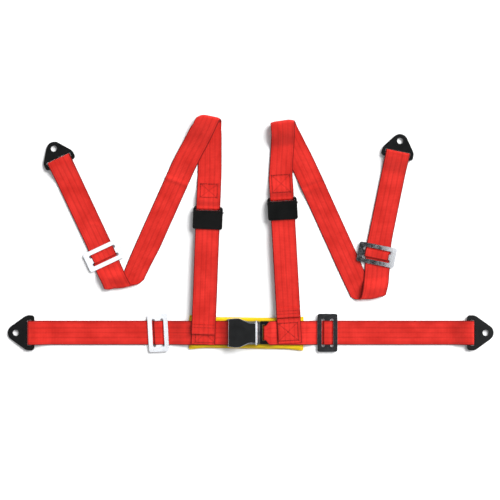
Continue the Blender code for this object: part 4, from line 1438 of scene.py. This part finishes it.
@dataclass(frozen=True)
class ShoulderBelt:
    """One shoulder belt: three straight legs between two folds, its adjuster and its ends."""

    side: str
    body: Body
    upright: tuple
    leaning: tuple
    outer: tuple
    top: Fold
    bottom: Fold
    adjuster: float
    slider: float
    anchor: float
    tail_end: float
    lap_end: float
    box: tuple[float, float, float]
    hem_at: float
    creases: tuple[Crease, ...] = ()

    def belt(self) -> bpy.types.Object:
        """Build the long ribbon from the adjuster's bar to the anchor and back to the slider.

        Returns:
            The ribbon.
        """
        up, heading = self.upright, heading_of(self.upright)
        rise = math.sin(heading)
        centre = on_line(up, self.adjuster)
        top = TurnedBelt(self.top, up, self.leaning)
        bottom = TurnedBelt(self.bottom, self.leaning, self.outer)
        made = Ribbon(
            f"{self.side}_shoulder_belt", f"{self.side}_shoulder", creases=self.creases,
            folds=(top, bottom))
        (bar_y, bar_z), loop = LOOP_BAR, 0.0030
        path = [(SEAM_TOP, FLOOR_PLY)] + arc(bar_y, bar_z, loop, 270, 90)
        path += climb(bar_y, bar_z + loop, 0.0225, 0.0062, 3)[1:]
        path += climb(0.0225, 0.0062, 0.0340, 0.0084)[1:]
        path += climb(0.0340, 0.0084, SEAM_TOP, TOP_PLY)[1:]
        made.add(Place(centre.x, centre.y, 0.0, heading).rows(path), "loop")
        sewn_top = centre + Vector((math.cos(heading), math.sin(heading))) * (SEAM_TOP + GAP)
        before, after = NEAR_FOLD, top.wrap + NEAR_FOLD
        start = Place(sewn_top.x, sewn_top.y, 0.0, heading)
        if self.top.rises:
            made.add(start.rows(climb(0.0, TOP_PLY, 0.022 / rise, FLOOR_PLY, 10)), "upright")
            made.add(top.rows(spread(-0.100, -before, 30)), "upright")
        else:
            made.add(start.rows([(0.0, TOP_PLY)]), "upright")
            made.add(top.rows(spread(-0.098, -before, 30), True), "upright")
        made.add(top.rows(spread(-before, 0.0, 8)), "top_fold")
        made.add(top.rows(spread(0.0, top.wrap, 19)), "top_fold")
        made.add(top.rows(spread(top.wrap, after, 8)), "top_fold")
        made.add(top.rows(spread(after, top.wrap + 0.125, 40)), "leaning")
        made.add(bottom.rows(spread(-0.110, -before, 34)), "leaning")
        made.add(bottom.rows(spread(-before, 0.0, 8), True), "bottom_fold")
        made.add(bottom.rows(spread(0.0, bottom.wrap, 19), True), "bottom_fold")
        made.add(bottom.rows(spread(bottom.wrap, after, 8), True), "bottom_fold")
        made.add(bottom.rows(spread(after, bottom.wrap + 0.120, 36), True), "outer")
        bar = self.anchor_place()
        made.add(loop_round_bar(bar), "anchor")
        slide = self.slider_place()
        made.add(Place(slide.x, slide.y, 0.0, slide.heading).rows([(0.004, FLOOR_PLY)]), "return")
        parts = (
            "adjuster_loop", "shoulder_upright", "top_fold", "shoulder_leaning", "bottom_fold",
            "shoulder_outer", "shoulder_anchor_loop", "shoulder_return")
        return made.make(tuple(f"{self.side}_{part}" for part in parts), (), Held.FOLDED)

    def anchor_place(self) -> Place:
        """Where the anchor's slot bar is, heading along the outer leg."""
        at = on_line(self.outer, self.anchor)
        return Place(at.x, at.y, ANCHOR_AXIS_Z, heading_of(self.outer))

    def slider_place(self) -> Place:
        """Where the slider is, heading along the outer leg."""
        at = on_line(self.outer, self.slider)
        return Place(at.x, at.y, 0.0, heading_of(self.outer))

    def tail(self) -> bpy.types.Object:
        """Build the free tail: round the locking bar, over the cover, to its folded hem.

        Returns:
            The tail.
        """
        heading = heading_of(self.upright)
        centre = on_line(self.upright, self.adjuster)
        (lock_y, lock_z), hook, height = LOCK_BAR, 0.0034, 0.0127
        length = (self.adjuster - self.tail_end) / math.sin(heading)
        path = [(-0.0200, lock_z - hook)] + arc(lock_y, lock_z, hook, -90, 90)
        path += climb(-0.0230, lock_z + hook, -0.0700, height)
        turn = 0.00085
        path += arc(-length + turn, height + turn, turn, 270, 90, 10)
        path += [(-length + 0.0190, height + 2 * turn)]
        made = Ribbon(f"{self.side}_tail_webbing", f"{self.side}_shoulder")
        made.add(Place(centre.x, centre.y, 0.0, heading).rows(path), "tail")
        lower = f"{self.side}_lower_belt"
        return made.make((f"{self.side}_tail",), (lower,), Held.FOLDED)

    def lower(self) -> bpy.types.Object:
        """Build the lower belt: from inside the adjuster to its sewn end on the lap belt.

        Returns:
            The lower belt.
        """
        up, heading = self.upright, heading_of(self.upright)
        rise = math.sin(heading)
        foot = on_line(up, 0.0)
        edge = LAP_Y + WEB_HALF
        path = [(self.adjuster - 0.016 * rise, FLOOR_PLY)]
        path += climb(-0.1230, FLOOR_PLY, edge + 0.0140, PAD_PLY + 0.0004)
        path += climb(edge + 0.0140, PAD_PLY + 0.0004, edge + 0.0030, SEWN_PLY, 8)[1:]
        path += [(self.lap_end, SEWN_PLY)]
        made = Ribbon(f"{self.side}_lower_belt", self.body.value)
        made.add(Place(foot.x, foot.y, 0.0, heading).rows(
            [(y / rise, z) for y, z in path]), "lower")
        return made.make(
            (f"{self.side}_shoulder_lower",), (f"{self.side}_lap_belt", "pad_cushion"), Held.LAID)

    def make(self) -> bpy.types.Object:
        """Build the belt with its hardware and stitching.

        Returns:
            The lower belt, which the lap belt's stitching holds.
        """
        belt = self.belt()
        tail = self.tail()
        lower = self.lower()
        heading = heading_of(self.upright)
        thread = ThreadWork(f"{self.side}_shoulder_stitches", f"{self.side}_shoulder")
        box_y, box_long, box_wide = self.box
        at = on_line(self.upright, box_y)
        thread.on([belt], Place(at.x, at.y, 0.0, heading), ThreadWork.boxed(box_long, box_wide))
        at = on_line(self.upright, self.hem_at)
        thread.on([tail], Place(at.x, at.y, 0.0, heading), ThreadWork.hem(0.042, 0.0060))
        thread.make()
        AnchorPlate(f"{self.side}_shoulder", self.anchor_place()).make()
        BeltSlider(f"{self.side}_shoulder", self.slider_place()).make()
        centre = on_line(self.upright, self.adjuster)
        Adjuster(self.side, Place(centre.x, centre.y, 0.0, heading - math.pi / 2)).make()
        return lower


LEFT = ShoulderBelt(
    side="left",
    body=Body.LAP_LEFT,
    upright=((-0.0910, -0.1564), (-0.0800, 0.1316)),
    leaning=((-0.1340, 0.1316), (-0.2200, -0.0604)),
    outer=((-0.3050, -0.0124), (-0.3650, 0.1156)),
    top=Fold(
        middle=(-0.0790, 0.2280), rises=True, advance=0.0025, tilt=0.04, clear=0.092, curl=0.0055,
        corner=0.0060),
    bottom=Fold(
        middle=(-0.2372, -0.1002), rises=True, advance=0.0215, tilt=0.24, clear=0.050, drop=0.038,
        swell=0.0052, curl=0.0034, corner=0.0026),
    adjuster=0.0318,
    slider=-0.0434,
    anchor=0.1400,
    tail_end=-0.1990,
    lap_end=-0.2194,
    box=(0.0856, 0.0280, 0.0346),
    hem_at=-0.1832,
    creases=(
        Crease((-0.1660, 0.1115), (-0.1270, 0.0975), 0.0018, 0.0040, "leaning"),
        Crease((-0.3600, 0.0680), (-0.3280, 0.0780), 0.0009, 0.0045, "outer"),
        Crease((-0.3420, 0.0400), (-0.3080, 0.0280), 0.0022, 0.0090, "outer"),
    ),
)
RIGHT = ShoulderBelt(
    side="right",
    body=Body.LAP_RIGHT,
    upright=((0.0750, -0.1404), (0.0600, 0.1316)),
    leaning=((0.1160, 0.1156), (0.1960, -0.0604)),
    outer=((0.2580, -0.0124), (0.2910, 0.1476)),
    top=Fold(
        middle=(0.0640, 0.2158), rises=False, advance=0.0, tilt=-0.10, clear=0.092, drop=0.044,
        swell=0.0030, curl=0.0082, corner=0.0035),
    bottom=Fold(
        middle=(0.2250, -0.1266), rises=True, advance=0.0170, tilt=-0.08, clear=0.050, drop=0.038,
        swell=0.0040, curl=0.0036, corner=0.0018),
    adjuster=0.0504,
    slider=-0.0418,
    anchor=0.1530,
    tail_end=-0.1656,
    lap_end=-0.2170,
    box=(0.0996, 0.0360, 0.0370),
    hem_at=-0.1558,
    creases=(
        Crease((0.1080, 0.0905), (0.1440, 0.1040), 0.0034, 0.0150, "leaning"),
        Crease((0.1080, 0.0905), (0.1440, 0.1040), -0.0030, 0.0045, "leaning"),
        Crease((0.1960, -0.0630), (0.2150, -0.0470), 0.0009, 0.0050, "leaning"),
        Crease((0.2600, 0.0470), (0.2920, 0.0440), 0.0016, 0.0080, "outer"),
    ),
)


# ------------------------------------------------------------------ buckle


@dataclass(frozen=True)
class Buckle:
    """Lift-lever buckle: flared lever with a grip insert, and a moulded tongue head."""

    y: float = -0.1965
    axis: tuple[float, float] = (0.0120, 0.0154)
    lever_z: tuple[float, float] = (0.0180, 0.0210)
    pin_radius: float = 0.0025
    barrel_radius: float = 0.0039
    barrel_half: float = 0.0198
    spring_half: float = 0.0042
    pocket_depth: float = 0.0013
    strip_x: float = -0.0011        # the shell's end slopes off from here, past the insert
    strip_tilt: float = math.radians(8)
    head_x: tuple[float, float] = (0.0200, 0.0400)
    head_z: tuple[float, float] = (0.0079, 0.0117)

    def flare(self, inset: float) -> list[Vector]:
        """The lever's outline about its pin, drawn smaller by an inset."""
        axis_x = self.axis[0]
        left, right = -0.0430 - axis_x + inset, 0.0003 - inset
        wide, slim = 0.0290 - inset, 0.0200 - inset
        soft = max(0.0010, 0.0030 - inset)
        return rounded(mirrored([
            (left, -wide + 0.0015, soft), (-0.0310 - axis_x, -wide, 0.0120),
            (-0.0215 - axis_x, -wide, 0.0080), (-0.0025 - axis_x, -slim, 0.0080),
            (right, -slim, 0.0010)]), 10)

    def lever(self) -> None:
        """Build the lever's shell with its barrel, and the insert in its pocket."""
        axis_x, axis_z = self.axis
        matrix = Place(axis_x, self.y, axis_z).matrix()
        low, high = self.lever_z[0] - axis_z, self.lever_z[1] - axis_z
        left, right = -0.0430 - axis_x, 0.0028
        wide, slim = 0.0290, 0.0200
        outline = rounded(mirrored([
            (left, -wide + 0.0015, 0.0030), (-0.0310 - axis_x, -wide, 0.0150),
            (-0.0210 - axis_x, -wide, 0.0100), (-0.0020 - axis_x, -slim, 0.0100),
            (right, -slim, 0.0008)]), 10)
        half = self.barrel_half
        slope = block((0.0, -0.03, 0.0), (0.02, 0.03, 0.01))
        slope.transform(
            Matrix.Translation((self.strip_x, 0.0, high))
            @ Matrix.Rotation(self.strip_tilt, 4, "Y"))
        shell = worked(
            plate([outline], low, high, 0.0009),
            (Cut.JOIN, rod(self.barrel_radius, (0, -half, 0), (0, half, 0), 56)),
            (Cut.JOIN, block((-0.0036, -half + 0.0003, 0.0), (0.0024, half - 0.0003, 0.004))),
            (Cut.AWAY, rod(self.pin_radius + GAP, (0, -0.05, 0), (0, 0.05, 0))),
            (Cut.AWAY, rod(0.0042, (0, -self.spring_half, 0), (0, self.spring_half, 0))),
            (Cut.AWAY, plate([self.flare(0.0014)], high - self.pocket_depth, high + 0.01, 0.0)),
            (Cut.AWAY, slope),
        )
        piece("lever_shell", shell, CHROME, Body.LEVER.value, matrix, ("lever",))
        insert = plate([self.flare(0.0014 + 1.5 * GAP)], high - 0.0010, high + 0.0001, 0.0004)
        piece(
            "lever_grip", insert, INLAY, Body.LEVER.value, matrix, ("lever_inlay",))

    def head(self) -> None:
        """Build the moulded head that covers the tongue's wide end."""
        half = 0.0230
        low, high = self.head_z
        start, end = self.head_x
        outline = rounded([
            (start, -half, 0.002), (end, -half, 0.003), (end, half, 0.003), (start, half, 0.002)])
        room = block((0.0, -0.0221, 0.0086), (0.0395, 0.0221, 0.0110))
        opening = rounded(rectangle(0.0239, 0.0302, 0.0166, 0.0012), 5)
        made = worked(
            plate([outline], low, high, 0.0008),
            (Cut.AWAY, room),
            (Cut.AWAY, plate([opening], 0.0, 0.03, 0.0)),
        )
        piece(
            "tongue_moulding", made, NYLON, Body.LAP_RIGHT.value, Place(0.0, self.y).matrix(),
            ("tongue_head",))

    def make(self) -> None:
        """Build the finer pieces."""
        self.lever()
        self.head()


@dataclass(frozen=True)
class ComfortPad:
    """The pad behind the buckle: nylon cloth over foam, sewn flat round its border."""

    half_x: float = 0.1175
    half_y: float = 0.0355
    top: float = PAD_TOP
    voxel: float = 0.0026
    swell: float = 0.0030
    border: float = 0.0050
    turn: float = math.radians(-0.8)
    centre: tuple[float, float] = (-0.0075, -0.1975)

    def swollen(self, mesh: bpy.types.Mesh) -> bpy.types.Mesh:
        """Blow the pad up as cloth with air in it, and hold back how far it may go.

        Args:
            mesh: The flat starting shape.

        Returns:
            The filled shape.
        """
        start = [vertex.co.copy() for vertex in mesh.vertices]
        obj = bare(mesh)
        cloth = obj.modifiers.new("filling", "CLOTH").settings
        cloth.quality = 5
        cloth.mass = 0.2
        cloth.use_pressure = True
        cloth.uniform_pressure_force = 4.0
        cloth.effector_weights.gravity = 0.0
        for number in range(1, 21):
            bpy.context.scene.frame_set(number)
        made = settle(obj)
        bpy.context.scene.frame_set(1)
        for vertex, home in zip(made.vertices, start):
            move = vertex.co - home
            if move.length > self.swell:
                vertex.co = home + move.normalized() * self.swell
        return made

    def make(self) -> None:
        """Build the pad, press it flat under the belts, and sew its border."""
        inset = 0.0012
        outline = rounded(rectangle(
            -self.half_x + inset, self.half_x - inset, self.half_y - inset, 0.0022), 6)
        flat = plate([outline], 0.0010, 0.0046, 0.0012)
        obj = bare(flat)
        step = obj.modifiers.new("even", "REMESH")
        step.mode = "VOXEL"
        step.voxel_size = self.voxel
        mesh = settle(obj)
        mesh = self.swollen(mesh)
        obj = bare(mesh)
        step = obj.modifiers.new("finer", "SUBSURF")
        step.levels = step.render_levels = 1
        mesh = settle(obj)
        for vertex in mesh.vertices:
            x, y, z = vertex.co
            inward = min(self.half_x - abs(x), self.half_y - abs(y))
            seam = math.exp(-(((inward - self.border) / 0.0015) ** 2))
            pucker = 0.0003 * noise.noise(Vector((x * 140, y * 140, 0.0)))
            if z > 0.003:
                z = z - 0.0013 * seam + pucker
            vertex.co.x = min(max(x, -self.half_x), self.half_x)
            vertex.co.y = min(max(y, -self.half_y), self.half_y)
            vertex.co.z = min(max(z, 0.0001), self.top - 0.00005)
        place = Place(self.centre[0], self.centre[1], 0.0, self.turn)
        cushion = piece(
            "pad_cushion", mesh, PAD_CLOTH, Body.LAP_LEFT.value, place.matrix(),
            ("pad_cover", "pad_foam"), smooth=80.0, even=False)
        a, b = self.half_x - self.border, self.half_y - self.border
        thread = ThreadWork("pad_stitches", Body.LAP_LEFT.value, PAD_THREAD, radius=0.0004)
        thread.on([cushion], place, [[(-a, -b), (a, -b), (a, b), (-a, b), (-a, -b)]])
        thread.make()


# ------------------------------------------------------------------ stage


@dataclass(frozen=True)
class Studio:
    """Plain pale floor, soft light from the right and top, and a camera straight above."""

    middle: tuple[float, float] = (0.0, -0.0324)
    height: float = 2.60
    view: float = 0.996          # metres across the picture at the floor
    sensor: float = 36.0

    def floor(self) -> None:
        """Lay the floor."""
        mesh = bpy.data.meshes.new("studio_floor")
        size = 4.0
        corners = [(-size, -size, 0.0), (size, -size, 0.0), (size, size, 0.0), (-size, size, 0.0)]
        mesh.from_pydata(corners, [], [(0, 1, 2, 3)])
        paper = Finish("matt_white_paper", "#FFFFFF", "#FEFEFE", 0.9)
        mesh.materials.append(paper.make())
        obj = bpy.data.objects.new("studio_floor", mesh)
        bpy.context.scene.collection.objects.link(obj)

    def lamp(
        self, name: str, spot: tuple, size: tuple[float, float], power: float, down: bool = False
    ) -> None:
        """Hang one soft rectangular lamp.

        Args:
            name: The lamp's name.
            spot: Where it hangs.
            size: Its sides in metres.
            power: Its power in watts.
            down: True if it faces straight down, and not the harness's middle.
        """
        light = bpy.data.lights.new(name, "AREA")
        light.shape = "RECTANGLE"
        light.size, light.size_y = size
        light.energy = power
        obj = bpy.data.objects.new(name, light)
        bpy.context.scene.collection.objects.link(obj)
        aim = Vector((self.middle[0], self.middle[1], 0.0)) - Vector(spot)
        if down:
            aim = Vector((0.0, 0.0, -1.0))
        turn = aim.to_track_quat("-Z", "Y").to_matrix().to_4x4()
        obj.matrix_world = Matrix.Translation(spot) @ turn

    def window(self) -> None:
        """Let in the broad main light, low from the upper right."""
        light = bpy.data.lights.new("window_light", "SUN")
        light.energy = 5.3
        light.angle = math.radians(46)
        obj = bpy.data.objects.new("window_light", light)
        bpy.context.scene.collection.objects.link(obj)
        obj.visible_glossy = False       # glossy parts mirror only the softboxes and walls
        aim = Vector((-0.58, -0.54, -0.60))
        obj.matrix_world = aim.to_track_quat("-Z", "Y").to_matrix().to_4x4()

    def surroundings(self) -> None:
        """Light the room from all round, with a dark ceiling above the camera."""
        world = bpy.data.worlds.new("studio")
        bpy.context.scene.world = world
        world.use_nodes = True
        tree = world.node_tree
        way = add_node(tree, "ShaderNodeTexCoord").outputs["Generated"]
        up = add_node(tree, "ShaderNodeSeparateXYZ", None, {0: way}).outputs[2]
        wall = add_node(tree, "ShaderNodeMapRange", {"interpolation_type": "SMOOTHSTEP"}, {
            "Value": up, "From Min": 0.80, "From Max": 0.975, "To Min": 0.50, "To Max": 0.05})
        sky = tree.nodes["Background"]
        sky.inputs["Color"].default_value = linear("#F6F7F9")
        tree.links.new(wall.outputs[0], sky.inputs["Strength"])

    def make(self) -> None:
        """Set up floor, lamps, surroundings and camera."""
        self.floor()
        self.surroundings()
        self.window()
        self.lamp("left_softbox", (-0.475, -0.175, 2.20), (0.42, 0.56), 1.3, True)
        self.lamp("right_softbox", (0.660, -0.110, 2.20), (0.30, 0.58), 0.87, True)
        self.lamp("side_softbox", (1.55, -0.20, 1.15), (0.90, 1.30), 5.0)
        camera = bpy.data.cameras.new("camera")
        camera.sensor_width = self.sensor
        camera.lens = self.sensor * self.height / self.view
        obj = bpy.data.objects.new("camera", camera)
        bpy.context.scene.collection.objects.link(obj)
        obj.location = (self.middle[0], self.middle[1], self.height)
        bpy.context.scene.camera = obj
        bpy.context.scene.view_settings.view_transform = "Standard"


def dress_nodes() -> None:
    """Give the CAD nodes that stay their real finishes."""
    finishes = {"chrome": CHROME, "steel": ZINC, "black_steel": POWDER, "black_plastic": NYLON}
    shown = {
        "buckle_base": "steel", "buckle_web_bar": "steel", "lever_pin": "chrome",
        "pawl_pin": "steel", "lever_spring": "steel", "latch_pawl": "steel",
        "tongue_plate": "steel",
    }
    for name, slot in shown.items():
        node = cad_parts[name]
        for holder in node.material_slots:
            holder.material = finishes[slot].make()
        log.info("%s: dressed as %s", name, finishes[slot].name)


def main() -> None:
    """Build the whole harness, piece by piece, then the stage."""
    logging.basicConfig(level=logging.INFO, format="%(name)s %(message)s")
    dress_nodes()
    ComfortPad().make()
    Buckle().make()
    sides = (
        (LeftLapBelt(), LEFT, (-0.0885, -0.1975), 0.038),
        (RightLapBelt(), RIGHT, (0.0757, -0.1945), 0.036),
    )
    for lap, shoulder, (x, y), long in sides:
        lap_belt = lap.make()
        lower = shoulder.make()
        thread = ThreadWork(f"{shoulder.side}_lap_stitches", shoulder.body.value)
        place = Place(x, y, 0.0, heading_of(shoulder.upright))
        thread.on([lap_belt, lower], place, ThreadWork.boxed(long, 0.040))
        thread.make()
    Studio().make()


if __name__ == "__main__":
    main()
